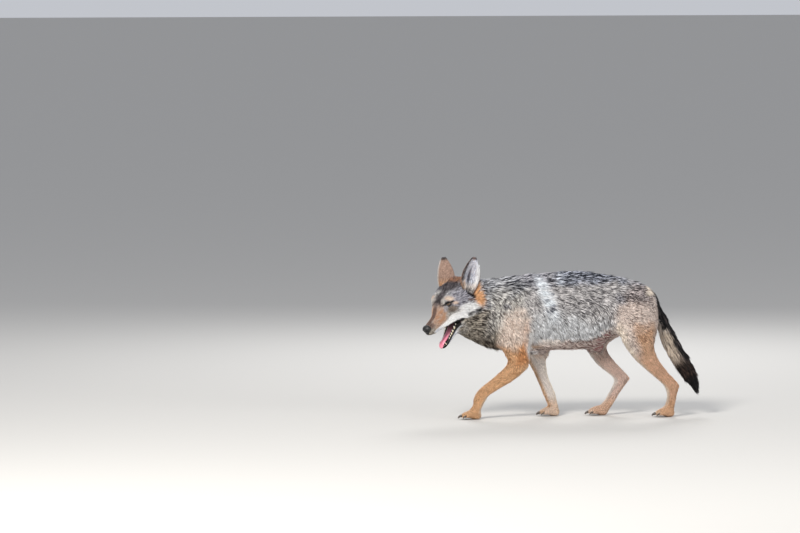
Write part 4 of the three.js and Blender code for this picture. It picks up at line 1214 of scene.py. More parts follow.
def lidRim(side):
    middle, gaze, slant, above = eyeAxes(side)
    radius = lidSettings["lidRadius"] + rimSettings["proud"]
    path, radii = [], []
    for turn in turnsOf(rimSettings["steps"]):
        along = lidSettings["halfLength"] * math.cos(turn)
        upper, lower = almond(along)
        height = upper if math.sin(turn) > 0 else lower
        depth = math.sqrt(max(radius**2 - along**2 - height**2, 1))
        path.append(middle + slant * along + above * height + gaze * depth)
        radii.append(rimSettings["upper"] if math.sin(turn) > 0 else rimSettings["lower"])
    points, faces = closedTube(path, evenRadii(radii), rimSettings["sides"])
    return fromHead(points), faces


def eyeMaterial():
    material, write, shader = newMaterial("wolf_eye", 0.12, specular=0.6, coatWeight=1.0, coatRoughness=0.03)
    away = attributeOf(write, "away")
    streaks = noise(write, 900.0, 3.0)
    amber = mixed(write, plainColour(92, 58, 26), plainColour(158, 108, 52), streaks)
    inner = ranged(write, away, eyeSettings["pupil"] - 1.0, eyeSettings["pupil"] + 1.0, 0.0, 1.0)
    outer = ranged(write, away, eyeSettings["iris"] - 5.0, eyeSettings["iris"], 0.0, 1.0)
    beyond = ranged(write, away, eyeSettings["iris"] + 2.0, eyeSettings["iris"] + 9.0, 0.0, 1.0)
    colour = mixed(write, (0.003, 0.003, 0.004, 1), amber, inner)
    colour = mixed(write, colour, plainColour(34, 22, 14), outer)
    colour = mixed(write, colour, plainColour(120, 96, 84), beyond)
    write.feed(shader, "Base Color", colour)
    return material


def rimMaterial():
    material, write, shader = newMaterial("lid_skin", 0.35, specular=0.5)
    write.feed(shader, "Base Color", ranged(write, noise(write, 700.0), 0.3, 0.7, 0.010, 0.030))
    return material


eyes = Batch()
for side in (1, -1):
    ball, away = eyeball(side)
    eyes.add(ball, away=away)
addPiece("eyes", eyes.mesh("eyes"), eyeMaterial(), "eye", "eye_left", "eye_right")

rims = Batch()
for side in (1, -1):
    rims.add(lidRim(side))
addPiece("lid_rims", rims.mesh("lid_rims"), rimMaterial(), "nose")
print("eyes set")


# ---- nose

noseSettings = {
    "blobs": (((130, 0, -38), (17.4, 21.4, 16.4)), ((128, 0, -52), (15, 12, 15))),
    "nostril": (147, 10.5, -41),
    "nostrilSize": (11, 5.2, 4.6),
    "slit": (141, 17.5, -45),  # the slit that runs out and back from each nostril
    "slitSize": (11, 6, 2.1),
    "voxel": 1.1,
    "smoothing": 14,
    "groove": 1.3,  # depth of the line under the nose
    "nostrilDepth": 6.5,
    "slitDepth": 3.2,
}


def ballShape(middle, size, rows=18, columns=28):
    angles = np.linspace(0.03, math.pi - 0.03, rows)
    rings = [
        [(math.sin(a) * math.cos(t), math.sin(a) * math.sin(t), math.cos(a)) for t in turnsOf(columns)]
        for a in angles
    ]
    points, faces = loft(rings)
    return points * np.array(size) + np.array(middle), faces


def noseMesh(settings):
    pad = Batch()
    for middle, size in settings["blobs"]:
        pad.add(ballShape(middle, size))
    mesh = remeshed(pad.mesh("nose"), settings["voxel"])
    local = Net(mesh).smoothShape(pointsOf(mesh), settings["smoothing"])
    movePoints(mesh, local)
    inward = normalsOf(mesh)
    x, y, z = local[:, 0], np.abs(local[:, 1]), local[:, 2]
    folded = np.stack([x, y, z], axis=-1)
    nostril = np.linalg.norm((folded - settings["nostril"]) / np.array(settings["nostrilSize"]), axis=1)
    slit = np.linalg.norm((folded - settings["slit"]) / np.array(settings["slitSize"]), axis=1)
    line = smoothStep(1.8, 0, y) * smoothStep(-40, -48, z) * smoothStep(130, 136, x)
    hollow = settings["nostrilDepth"] * smoothStep(1.15, 0.45, nostril)
    slit = settings["slitDepth"] * smoothStep(1.2, 0.4, slit)
    dent = np.maximum(hollow, slit) + settings["groove"] * line
    local = Net(mesh).smooth(local - inward * dent[:, None], 1, 0.35)
    movePoints(mesh, fromHead(local))
    # the share of each nostril's depth, with which the nostrils are painted nearly black as painted shade
    store(mesh, "hollow", np.clip(hollow / settings["nostrilDepth"], 0, 1))
    return mesh


def noseMaterial():
    material, write, shader = newMaterial("wolf_nose", 0.46, specular=0.4, coatWeight=0.15, coatRoughness=0.3)
    place = write.add("ShaderNodeTexCoord").outputs["Object"]
    pebbles = write.add("ShaderNodeTexVoronoi", inputs={"Vector": place, "Scale": 620.0})
    # painted shade: each pebble is paler at its middle and darker in the creases between the pebbles
    tone = ranged(write, pebbles.outputs["Distance"], 0.1, 0.7, 0.016, 0.006)
    # painted shade: the nostrils darken to nearly black
    deep = mixed(write, tone, (0.002, 0.002, 0.002, 1), attributeOf(write, "hollow"))
    write.feed(shader, "Base Color", deep)
    raised = ranged(write, pebbles.outputs["Distance"], 0.05, 0.6, 1.0, 0.0)
    bump(write, shader, raised, 0.55, 0.0005)
    return material


addPiece("nose_pad", noseMesh(noseSettings), noseMaterial(), "nose", "nose")
print("nose shaped")


# ---- tongue and teeth

# the tongue's sections in the jaw's frame: forward, up, half its thickness and half its width
tongueStations = (
    (10, -74, 7, 17), (30, -76, 7, 15.5), (50, -77, 7, 13.2), (72, -76, 6.6, 12), (92, -73, 6, 12.4),
    (108, -69.5, 5.2, 13.8), (118, -70, 4.8, 13.4), (126, -73, 4.2, 10.5), (130.5, -77, 3, 6),
)
tongueSettings = {"rows": 64, "sides": 28, "groove": 2.2, "edge": 1.4}

# teeth of one side: forward, out, height, thickness and, for cheek teeth, how far they run along the jaw
lowerTeeth = (
    (16, 27, 6, 5, 11), (30, 25, 9, 6, 14), (46, 23, 7, 4.6, 11), (58, 21.5, 6, 4, 9.5), (69, 20, 5, 3.6, 8),
    (80, 18.5, 4.5, 3.4, 6.5), (108, 14.5, 16, 3.9, 4.2), (117, 8.6, 5, 2.4, 2.2), (121, 5.2, 5, 2.2, 2.2),
    (122.5, 1.9, 4.8, 2, 2),
)
upperTeeth = (
    (22, 31, 5, 4.6, 7), (40, 26, 7, 5.4, 10), (56, 23.5, 5, 4, 6), (70, 21.5, 4.5, 3.6, 5.4),
    (86, 19, 4, 3.4, 5), (112, 15, 11, 4, 4.4), (120, 10.5, 4.5, 3, 2.8), (124.5, 6, 4, 2.4, 2.4),
    (126.5, 2.1, 3.6, 2.2, 2.2),
)
toothSettings = {
    "root": 6,
    "sides": 10,
    "rows": 7,
    "lean": 2.5,
    "fang": 12,  # the height from which a tooth is a fang
    "fangLean": 1.8,  # how many times as far a fang leans
}


def between(stations, count):
    # smooth values between stations, evenly along the first column
    stations = np.array(stations, dtype=float)
    fine = np.linspace(stations[0, 0], stations[-1, 0], count)
    columns = [np.interp(fine, stations[:, 0], column) for column in stations.T]
    return evened(np.stack(columns, axis=-1), 5)


def tongueShape(settings):
    rings, middleOf = [], []
    turns = turnsOf(settings["sides"])
    for forward, up, thick, wide in between(tongueStations, settings["rows"]):
        ripple = 0.5 * math.sin(forward * 0.31) + 0.3 * math.sin(forward * 0.83)
        ring = []
        for turn in turns:
            across = math.cos(turn) * (wide + ripple)
            height = math.sin(turn) * thick
            groove = settings["groove"] * math.exp(-(across / 2.6) ** 2) * max(math.sin(turn), 0)
            rolled = settings["edge"] * (across / wide) ** 4
            ring.append((forward, across, up + height - groove + rolled))
            middleOf.append(abs(across) / wide)
        rings.append(ring)
    points, faces = loft(rings)
    return (fromJaw(points), faces), np.array(middleOf + [0, 0])


def toothShape(tooth, ground, upward, side, place):
    forward, outward, height, thick, long = tooth
    base = ground(forward)
    rings = []
    turns = turnsOf(toothSettings["sides"])
    bend = toothSettings["lean"] * (1 if height < toothSettings["fang"] else toothSettings["fangLean"])
    for share in np.linspace(0, 1, toothSettings["rows"]):
        reach = -toothSettings["root"] + (height + toothSettings["root"]) * share
        taper = (1 - smoothStep(0.25, 1.0, share) * 0.93) * 0.5
        along = forward - bend * share**2 + np.cos(turns) * long * taper
        across = (outward + np.sin(turns) * thick * taper) * side
        rings.append(np.stack([along, across, np.full(len(turns), base + reach * upward)], axis=-1))
    points, faces = loft(rings)
    return (place(points), faces), alongRings(toothSettings["rows"], toothSettings["sides"])


def teethMesh():
    teeth = Batch()
    jaws = ((lowerTeeth, lowerLipHeight, 1, fromJaw), (upperTeeth, upperLipHeight, -1, fromHead))
    for rows, ground, upward, place in jaws:
        for tooth in rows:
            for side in (1, -1):
                shape, heights = toothShape(tooth, ground, upward, side, place)
                teeth.add(shape, height=heights)
    return teeth.mesh("teeth")


def tongueMaterial():
    material, write, shader = newMaterial(
        "wolf_tongue", 0.34, specular=0.45, coatWeight=0.35, coatRoughness=0.2
    )
    fine = noise(write, 1400.0, 2.0)
    broad = ranged(write, noise(write, 160.0, 3.0), 0.3, 0.7, 0.0, 1.0)
    rough = mixed(write, plainColour(222, 116, 142), plainColour(238, 158, 176), broad)
    grooved = mixed(write, rough, plainColour(200, 90, 118), attributeOf(write, "middle"))
    # painted shade: the back of the tongue, deep in the mouth, is painted dark
    shaded = mixed(write, grooved, plainColour(78, 36, 44), attributeOf(write, "deep"))
    write.feed(shader, "Base Color", shaded)
    bump(write, shader, fine, 0.6, 0.0006)
    return material


def toothMaterial():
    material, write, shader = newMaterial(
        "wolf_teeth", 0.25, specular=0.5, coatWeight=0.2, coatRoughness=0.15
    )
    height = ranged(write, attributeOf(write, "height"), 0.3, 0.85, 0.0, 1.0)
    mottle = ranged(write, noise(write, 500.0), 0.3, 0.7, 0.9, 1.05)
    enamel = mixed(write, plainColour(214, 196, 160), plainColour(244, 240, 230), height)
    write.feed(shader, "Base Color", scaled(write, enamel, mottle))
    return material


tongue = Batch()
tongueForm, tongueMiddle = tongueShape(tongueSettings)
tongueRun = intoJaw(tongueForm[0])[:, 0]
# the tongue's back, deep in the mouth, is marked for painted shade
tongue.add(tongueForm, middle=np.clip(1 - tongueMiddle * 3, 0, 1) * 0.7, deep=smoothStep(70, 25, tongueRun))
addPiece("tongue_soft", tongue.mesh("tongue_soft"), tongueMaterial(), "tongue", "tongue")
addPiece("teeth", teethMesh(), toothMaterial(), "jaw")
print("tongue and teeth made")


# ---- claws

clawSettings = {
    "radius": 3.7,
    "flatness": 0.78,
    "reach": 20,
    "rows": 11,
    "sides": 12,
    "root": (5, 0, 1.5),  # how far back and up the base lies inside the toe
    "droop": (20, 48),  # degrees downwards at the base, and more by the tip
    "tip": 0.35,
}


def clawShape(name):
    # leaves the toe where the solid claw does, and bends down to its point
    low, high = (np.array(corner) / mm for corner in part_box(name))
    start = np.array([high[0], (low[1] + high[1]) / 2, high[2] - clawSettings["radius"]])
    path, radii = [start + clawSettings["root"]], [clawSettings["radius"]]
    place, steps = start, clawSettings["rows"]
    level, more = clawSettings["droop"]
    for share in np.linspace(0, 1, steps):
        droop = math.radians(level + more * share)
        path.append(place.copy())
        radii.append(max(clawSettings["radius"] * (1 - share**1.6), clawSettings["tip"]))
        place = place + np.array([-math.cos(droop), 0, -math.sin(droop)]) * (clawSettings["reach"] / steps)
    points, faces = spike(path, radii, clawSettings["sides"], clawSettings["flatness"])
    return (points * mm, faces), alongRings(len(path), clawSettings["sides"])


def hornMaterial():
    material, write, shader = newMaterial(
        "wolf_claws", 0.32, specular=0.45, coatWeight=0.15, coatRoughness=0.25
    )
    streaks = write.add("ShaderNodeTexNoise", inputs={"Scale": 260.0, "Detail": 4.0})
    place = write.add("ShaderNodeTexCoord").outputs["Object"]
    stretched = write.add("ShaderNodeVectorMath", operation="MULTIPLY")
    write.feed(stretched, 0, place)
    write.feed(stretched, 1, (0.25, 2.0, 0.8))
    write.feed(streaks, "Vector", stretched.outputs["Vector"])
    streak = streaks.outputs["Fac"]
    paler = ranged(write, streak, 0.3, 0.75, 0.0, 1.0)
    horn = mixed(write, plainColour(34, 29, 27), plainColour(92, 78, 66), paler)
    tip = ranged(write, attributeOf(write, "along"), 0.7, 1.0, 0.0, 0.6)
    write.feed(shader, "Base Color", mixed(write, horn, plainColour(120, 104, 88), tip))
    bump(write, shader, streak, 0.4, 0.0003)
    return material


clawNames = [f"{leg}_claw_{toe}" for leg in legNames for toe in (1, 2, 3, 4)]
claws = Batch()
for name in clawNames:
    shape, along = clawShape(name)
    claws.add(shape, along=along)
addPiece("claws", claws.mesh("claws"), hornMaterial(), "claw", *clawNames)
print("claws made")


# ---- ears: hollow leaves with a fine shell, and hair inside and out

# each ear's tip and the way that its hollow faces; the right ear is turned back
earWays = {
    1: {"tip": (-182, 98, 114), "faces": (0.5, 0.84, -0.17)},
    -1: {"tip": (-179, 78, 113), "faces": (-0.18, 0.96, -0.1)},
}
earSettings = {
    "root": (-98, 66, -18),
    "halfWidth": 43,
    "outline": (0.34, 0.72, 0.95, 1, 0.95, 0.82, 0.57, 0.18),
    "curl": (105, 34),  # degrees to each side, at the root and the tip
    "curlShare": 1.15,
    "bow": 5,
    "thick": (4.2, 2.2),
    "rows": 40,
    "columns": 30,
}


def softOutline(values, count):
    return evened(np.interp(np.linspace(0, len(values) - 1, count), range(len(values)), values), 30)


earOutline = softOutline(earSettings["outline"], 29)


def earAxes(side):
    mirror = np.array([1, side, 1])
    root = np.array(earSettings["root"]) * mirror
    along = np.array(earWays[side]["tip"]) * mirror - root
    length = np.linalg.norm(along)
    along = along / length
    faces = np.array(earWays[side]["faces"]) * mirror
    faces = unit(faces - along * faces.dot(along))
    return root, along, length, faces


def earPlace(side, across, up, depth):
    # a place in the head's frame: across is -1 to 1 round the hollow, up is 0 to 1
    root, along, length, faces = earAxes(side)
    wide = np.cross(faces, along)
    share = np.interp(up, np.linspace(0, 1, len(earOutline)), earOutline)
    start, end = earSettings["curl"]
    curl = np.radians(start + (end - start) * np.minimum(up * earSettings["curlShare"], 1))
    radius = earSettings["halfWidth"] * share / np.sin(np.minimum(curl, math.pi / 2))
    centre = root + np.multiply.outer(up * length, along)
    bow = earSettings["bow"] * np.sin(up * math.pi)
    centre = centre + np.multiply.outer(np.cos(curl) * radius - bow, faces)
    thick = earSettings["thick"][0] + (earSettings["thick"][1] - earSettings["thick"][0]) * up
    reach = radius + depth * thick * (1 - 0.45 * across**2)
    sideways = np.multiply.outer(np.sin(across * curl) * reach, wide)
    return centre + (sideways - np.multiply.outer(np.cos(across * curl) * reach, faces))


def earShape(side):
    # the hollow's folds lie along the front edge and the pouch low on the rear one
    rows, columns = earSettings["rows"], earSettings["columns"]
    outerRow = np.linspace(-1, 1, columns + 1)
    rings, marks = [], []
    for up in np.linspace(0, 1, rows):
        heights = np.full(columns + 1, up)
        outer = earPlace(side, outerRow, heights, np.ones(columns + 1))
        fold = 0.55 * np.exp(-((outerRow * side - 0.72) / 0.10) ** 2) * smoothStep(0.75, 0.2, up)
        fold = fold + 0.7 * np.exp(-((outerRow * -side - 0.80) / 0.08) ** 2) * smoothStep(0.42, 0.25, up)
        inner = earPlace(side, outerRow, heights, -1 - fold)
        rings.append(np.vstack([outer, inner[::-1]]))
        marks.append(np.stack([
            np.concatenate([outerRow, outerRow[::-1]]),
            np.full(2 * columns + 2, up),
            np.concatenate([np.zeros(columns + 1), np.ones(columns + 1)]),
        ], axis=-1))
    points, faces = loft(rings)
    marks = np.vstack(marks + [np.array([[0, 0, 0.5], [0, 1, 0.5]])])
    return (fromHead(points), faces), marks


def readBack(mesh, name, width):
    values = np.empty(len(mesh.vertices) * width)
    mesh.attributes[name].data.foreach_get("vector" if width == 3 else "value", values)
    return values.reshape(-1, width) if width > 1 else values


def paintEars(across, up, inner, near):
    # near is 1 on the left ear, whose hollow is grey; the right one's is buff
    front, rear = smoothStep(0.35, 0.9, across), smoothStep(-0.45, -0.95, across)
    earPaint = Paint(len(up), "earBack")
    earPaint.lay("orange", (1 - inner) * smoothStep(0.45, 0.15, up))
    earPaint.lay("earEdge", smoothStep(0.80, 1.0, np.abs(across)) * 0.6 + smoothStep(0.88, 1, up))
    earPaint.lay("earInner", inner * near)
    earPaint.lay("beige", inner * (1 - near))
    # painted shade: a dark spot low in the middle of the near ear's hollow, where its canal lies
    deep = spot(np.stack([across, up, inner], axis=-1), (-0.02, 0.42, 1), (0.13, 0.26, 2))
    earPaint.lay("earCanalShade", inner * deep * 0.85 * near)
    earPaint.lay("white", inner * rear * smoothStep(0.95, 0.6, up) * 0.9)
    earPaint.lay("earEdge", inner * smoothStep(0.66, 0.92, across) * smoothStep(0.25, 0.4, up) * near)
    earPaint.lay("beige", inner * smoothStep(0.4, 0.8, across) * smoothStep(0.34, 0.24, up))
    earPaint.lay("pale", inner * smoothStep(0.24, 0.12, up) * 0.8)
    earPaint.lay("black", inner * smoothStep(0.09, 0.03, up) * near)
    earPaint.lay("earEdge", smoothStep(0.88, 0.97, up))
    earPaint.lay("pale", (1 - near) * smoothStep(0.86, 0.97, across) * smoothStep(0.95, 0.85, up) * 0.8)
    return earPaint, front, rear


def earRuns(local, earSide, inward):
    # the hair runs up the ear, and from its edges in over the hollow
    runs = np.zeros_like(local)
    for side in (1, -1):
        mine = earSide * side > 0
        root, along, _, faces = earAxes(side)
        middle = root + np.outer((local[mine] - root) @ along, along)
        runs[mine] = along + unit(middle - local[mine] + faces * 12) * inward[mine, None]
    return unit(runs) @ headTurned


def earUnwrap(mesh, mark, inner, earSide):
    # the four faces of the two ears, each in its own quarter of the square
    points, starts, faceOf = cornersOf(mesh)
    innerFace = np.array([inner[list(face.vertices)].mean() > 0.5 for face in mesh.polygons])
    sideFace = earSide[points[starts]] > 0
    spread = np.stack([
        0.02 + 0.44 * (mark[points, 0] + 1) / 2 + 0.5 * innerFace[faceOf],
        0.02 + 0.44 * mark[points, 1] + 0.5 * sideFace[faceOf],
        np.zeros(len(points)),
    ], axis=-1)
    store(mesh, "unwrap", spread, "CORNER")
    storeZone(mesh, innerFace)


def dressEars(mesh):
    mark, earSide = readBack(mesh, "mark", 3), readBack(mesh, "side", 1)
    across, up, inner = mark[:, 0] * earSide, mark[:, 1], mark[:, 2]  # across is 1 at the front edge
    earPaint, front, rear = paintEars(across, up, inner, smoothStep(0, 1, earSide))
    dropAttributes(mesh, "mark", "side")
    tone = earPaint.root * (0.5 + 0.4 * inner)[:, None]
    pink = inner * smoothStep(0.1, 0.35, up) * smoothStep(0.95, 0.6, np.abs(across)) * 0.2
    tone = tone + (rgb(176, 120, 100) - tone) * pink[:, None]
    facing = normalsOf(mesh)
    runs = earRuns(intoHead(pointsOf(mesh)), earSide, (0.55 * front + 0.35 * rear) * inner)
    runs = unit(runs - (runs * facing).sum(axis=1, keepdims=True) * facing)
    edge, low = np.maximum(front, rear), smoothStep(0.5, 0.1, up)
    lift = np.radians(11 + inner * (8 + 10 * edge + 6 * low))[:, None]
    thinned = 1 - inner * (0.45 - 0.45 * edge) * (1 - low)
    values = {
        "tint": tone,
        "wet": np.zeros(len(up)),
        "coatRoot": earPaint.root,
        "coatTip": earPaint.tip,
        "dark": earPaint.dark,
        "aim": runs * np.cos(lift) + facing * np.sin(lift),
        "length": (9 + inner * (5 + 7 * edge + 9 * low) * smoothStep(1.0, 0.8, up) - 3 * up) * mm,
        "width": (1.5 + inner * (0.3 + 0.5 * low)) * mm,
        "thick": smoothStep(0.02, 0.08, up) * thinned * smoothStep(1.0, 0.985, up),
    }
    for key, value in values.items():
        store(mesh, key, value)
    earUnwrap(mesh, mark, inner, earSide)


ears = Batch()
for side in (1, -1):
    shape, marks = earShape(side)
    ears.add(shape, mark=marks, side=np.full(len(marks), side))
earMesh = ears.mesh("ears")
dressEars(earMesh)
addPiece("ears", earMesh, skinMesh.materials[0], "ear", "ear_left", "ear_right")
print("ears shaped")


# ---- the coat: locks of hair set over the skin by geometry nodes

coatValues = {
    "coatRoot": paint.root,
    "coatTip": paint.tip,
    "dark": paint.dark,
    "aim": aim,
    "streak": streak,
    "length": coat["length"] * mm,
    "width": coat["width"] * mm,
}
for key, value in coatValues.items():
    store(skinMesh, key, value)

# the two shapes of lock: how wide they are at their stations, and how far three of them sweep
lockShapes = {
    "long": {"stations": ((0.0, 0.5), (0.3, 1.0), (0.68, 0.75)), "sweeps": (0, 0.9, -0.9)},
    "short": {"stations": ((0.0, 0.6), (0.5, 0.95)), "sweeps": (0, 0.5, -0.5)},
}


def lockMesh(name, sweep, stations):
    # a closed three-sided lock, 1 long and 1 wide, that arches and sweeps to one side
    points, faces, leaves = [], [], []
    for along, wide in stations:
        rise = 0.6 * math.sin(along * math.pi) * along ** 0.3
        side = sweep * along ** 2
        ring = [(-0.5 * wide, 0.0), (0.5 * wide, 0.0), (0.0, 0.30 * wide)]
        for across, up in ring:
            points.append((along, side + across, rise + up))
            leaves.append((across + 0.5, along, 0))
    points.append((1.0, sweep, 0.0))
    leaves.append((0.5, 1.0, 0))
    last = len(stations) - 1
    for row in range(len(stations)):
        for corner in range(3):
            near, beside = row * 3 + corner, row * 3 + (corner + 1) % 3
            further = (beside + 3, near + 3) if row < last else (len(points) - 1,)
            faces.append((near, beside, *further))
    faces.append((2, 1, 0))
    mesh = meshFrom(name, points, faces)
    store(mesh, "leaf", np.array(leaves))
    return mesh


# what a coat's nodes are given
coatInputs = {
    "Geometry": "Geometry",
    "Locks per area": "Float",
    "Ruffle": "Float",
    "Stray": "Float",
    "Streaks": "Float",
    "Patch": "Float",
    "Zone": "Int",
    "Seed": "Int",
    "Material": "Material",
}


def coatTree(name, locks):
    # named inputs, a fixed seed, and plain mesh locks at the end
    tree = bpy.data.node_groups.new(name, "GeometryNodeTree")
    for label, kind in coatInputs.items():
        tree.interface.new_socket(label, in_out="INPUT", socket_type="NodeSocket" + kind)
    tree.interface.new_socket("Geometry", in_out="OUTPUT", socket_type="NodeSocketGeometry")
    write = Nodes(tree)
    given = write.add("NodeGroupInput").outputs

    def named(label, kind="FLOAT_VECTOR"):
        node = write.add("GeometryNodeInputNamedAttribute", data_type=kind, inputs={"Name": label})
        return node.outputs["Attribute"]

    def vector(operation, first, second, key=1):
        node = write.add("ShaderNodeVectorMath", operation=operation)
        write.feed(node, 0, first)
        write.feed(node, key, second)
        return node.outputs["Vector"]

    def random(kind, low, high, step):
        node = write.add("FunctionNodeRandomValue", data_type=kind)
        live = [socket for socket in node.inputs if socket.enabled]
        write.feed(node, list(node.inputs).index(live[0]), low)
        write.feed(node, list(node.inputs).index(live[1]), high)
        write.feed(node, "Seed", math2(write, "ADD", given["Seed"], float(step)))
        return next(socket for socket in node.outputs if socket.enabled)

    def keep(geometry, label, value, kind="FLOAT", domain="POINT"):
        node = write.add("GeometryNodeStoreNamedAttribute", data_type=kind, domain=domain)
        write.feed(node, "Geometry", geometry)
        write.feed(node, "Name", label)
        write.feed(node, "Value", value)
        return node.outputs["Geometry"]

    sameZone = write.add("FunctionNodeCompare", data_type="INT", operation="EQUAL")
    write.feed(sameZone, 2, named("zone", "INT"))
    write.feed(sameZone, 3, given["Zone"])
    gap = math2(write, "DIVIDE", 0.55, math2(write, "SQRT", given["Locks per area"], 0.0))
    spread = write.add("GeometryNodeDistributePointsOnFaces", distribute_method="POISSON")
    write.feed(spread, "Mesh", given["Geometry"])
    write.feed(spread, "Selection", sameZone.outputs[0])
    write.feed(spread, "Distance Min", gap)
    write.feed(spread, "Density Max", given["Locks per area"])
    write.feed(spread, "Density Factor", named("thick", "FLOAT"))
    write.feed(spread, "Seed", given["Seed"])
    normal = spread.outputs["Normal"]

    place = write.add("GeometryNodeInputPosition").outputs[0]
    broad = write.add("ShaderNodeTexNoise", inputs={"Vector": place, "Scale": 40.0, "Detail": 1.0})
    own = math2(write, "SUBTRACT", 1.0, given["Streaks"])
    streaked = math2(write, "MULTIPLY", named("streak", "FLOAT"), given["Streaks"])
    grain = math2(write, "ADD", streaked, math2(write, "MULTIPLY", random("FLOAT", 0.0, 1.0, 1), own))
    points = keep(spread.outputs["Points"], "grain", grain)
    points = keep(points, "grainTwo", random("FLOAT", 0.0, 1.0, 2))

    bothWays = vector("SUBTRACT", broad.outputs["Color"], (0.5, 0.5, 0.5))
    sway = vector("SCALE", bothWays, given["Ruffle"], "Scale")
    anyWay = random("FLOAT_VECTOR", (-1.0, -1.0, -1.0), (1.0, 1.0, 1.0), 3)
    stray = vector("SCALE", anyWay, given["Stray"], "Scale")
    run = vector("ADD", vector("ADD", named("aim"), sway), stray)
    alignType = "FunctionNodeAlignRotationToVector"
    first = write.add(alignType, axis="X", inputs={"Vector": run})
    second = write.add(alignType, axis="Z", pivot_axis="X", inputs={"Vector": normal})
    write.feed(second, "Rotation", first.outputs["Rotation"])

    length = math2(write, "MULTIPLY", named("length", "FLOAT"), random("FLOAT", 0.72, 1.15, 4))
    width = math2(write, "MULTIPLY", named("width", "FLOAT"), random("FLOAT", 0.7, 1.25, 5))
    height = math2(write, "MULTIPLY", length, 0.1)
    size = write.add("ShaderNodeCombineXYZ", inputs={"X": length, "Y": width, "Z": height})

    shapes = write.add("GeometryNodeJoinGeometry")
    for lock in locks:
        info = write.add("GeometryNodeObjectInfo", inputs={"Object": lock, "As Instance": True})
        tree.links.new(info.outputs["Geometry"], shapes.inputs["Geometry"])
    placed = write.add("GeometryNodeInstanceOnPoints", inputs={"Points": points})
    write.feed(placed, "Instance", shapes.outputs["Geometry"])
    write.feed(placed, "Pick Instance", True)
    write.feed(placed, "Instance Index", random("INT", 0, len(locks) - 1, 6))
    write.feed(placed, "Rotation", second.outputs["Rotation"])
    write.feed(placed, "Scale", size.outputs["Vector"])
    plain = write.add("GeometryNodeRealizeInstances", inputs={"Geometry": placed.outputs["Instances"]})
    patch = vector("ADD", named("unwrap"), vector("SCALE", named("leaf"), given["Patch"], "Scale"))
    mapped = keep(plain.outputs["Geometry"], "OFBake", patch, "FLOAT2", "CORNER")
    finished = write.add("GeometryNodeSetMaterial", inputs={"Geometry": mapped})
    write.feed(finished, "Material", given["Material"])
    end = write.add("NodeGroupOutput")
    tree.links.new(finished.outputs["Geometry"], end.inputs["Geometry"])
    return tree


def coatPiece(name, ground, tree, inputs):
    # grows one zone's coat from a mesh and returns it as a plain mesh
    grower = newObject(name + "_grower", ground)
    modifier = grower.modifiers.new("coat", "NODES")
    modifier.node_group = tree
    for item in tree.interface.items_tree:
        if item.in_out == "INPUT" and item.name in inputs:
            modifier[item.identifier] = inputs[item.name]
    mesh = evaluatedMesh(grower)
    bpy.data.objects.remove(grower)
    dropAttributes(mesh, "aim", "streak", "length", "width", "thick", "unwrap", "tint", "wet")
    thing = newObject(name, mesh)
    print(name, len(mesh.polygons), "faces")
    return thing


# zones of the coat: how many locks each grows, which shape they take, and the slot of the piece
coatZones = {
    "coat_left": {"locks": 12000, "lock": "long", "slot": "coat"},
    "coat_right": {"locks": 12000, "lock": "long", "slot": "coat"},
    "coat_neck": {"locks": 11800, "lock": "long", "slot": "coat"},
    "coat_face": {"locks": 19000, "lock": "short", "slot": "coat"},
    "coat_crown": {"locks": 9500, "lock": "long", "slot": "coat"},
    "coat_shoulders": {"locks": 15500, "lock": "short", "slot": "coat"},
    "coat_thighs": {"locks": 15500, "lock": "short", "slot": "coat"},
    "coat_legs": {"locks": 19000, "lock": "short", "slot": "leg"},
    "coat_tail": {"locks": 6500, "lock": "long", "slot": "tail"},
    "coat_back": {"locks": 12000, "lock": "long", "slot": "coat"},
}
earZones = {
    "coat_ears_back": {"locks": 6500, "lock": "short", "slot": "ear"},
    "coat_ears_inside": {"locks": 3200, "lock": "long", "slot": "ear"},
}
zoneEdges = {"back": 52, "crown": -42}  # degrees round the trunk, and millimetres along the head
zoneOf = {name.removeprefix("coat_"): index for index, name in enumerate(coatZones)}
# how the locks stand on the body and on the ears, the width of a lock's patch on the unwrap,
# and the seed of the first zone
coatWays = {
    "body": {"Ruffle": 0.42, "Stray": 0.07, "Streaks": 0.36, "Patch": 0.003, "Seed": 40},
    "ears": {"Ruffle": 0.3, "Stray": 0.10, "Streaks": 0.0, "Patch": 0.003, "Seed": 60},
}
sownShare = 1.18  # more locks are sown than stand, as the closest ones drop out
earArea = 0.030  # square metres that the count of each of the ears' zones is spread over


def zoneOfPoint():
    # the trunk's coat is in three pieces: both sides and the back
    flank = np.where(places[:, 1] < 0, zoneOf["left"], zoneOf["right"])
    zone = np.where(roundBody < zoneEdges["back"], zoneOf["back"], flank)
    best = shares.argmax(axis=1)
    for index, part in enumerate(parts):
        mine = best == index
        if part in ("neck", "tail"):
            zone[mine] = zoneOf[part]
        elif part == "head":
            zone[mine] = np.where(headX[mine] > zoneEdges["crown"], zoneOf["face"], zoneOf["crown"])
        elif part == "jaw":
            zone[mine] = zoneOf["face"]
        elif part.endswith("upper"):
            zone[mine] = zoneOf["shoulders" if part.startswith("fore") else "thighs"]
        elif part != "trunk":
            zone[mine] = zoneOf["legs"]
    return zone


def turnShare(across, up):
    return np.arctan2(across, up) / (2 * math.pi) + 0.5


def spanShare(value):
    return (value - value.min()) / (value.max() - value.min())


def legUnwrap():
    # each leg's turn and run, in its own quarter of the square
    turn, run = np.zeros(len(places)), np.zeros(len(places))
    for index, leg in enumerate(legNames):
        mine = sum(share[f"{leg}_{part}"] for part in ("upper", "lower", "paw")) > 0.25
        _, travelled, middle = alongLine(places[mine], legLines[leg])
        off = places[mine] - middle
        turn[mine] = 0.5 * (index % 2) + 0.44 * turnShare(off[:, 1], off[:, 0])
        run[mine] = 0.5 * (index // 2) + 0.46 * travelled
    return turn, run


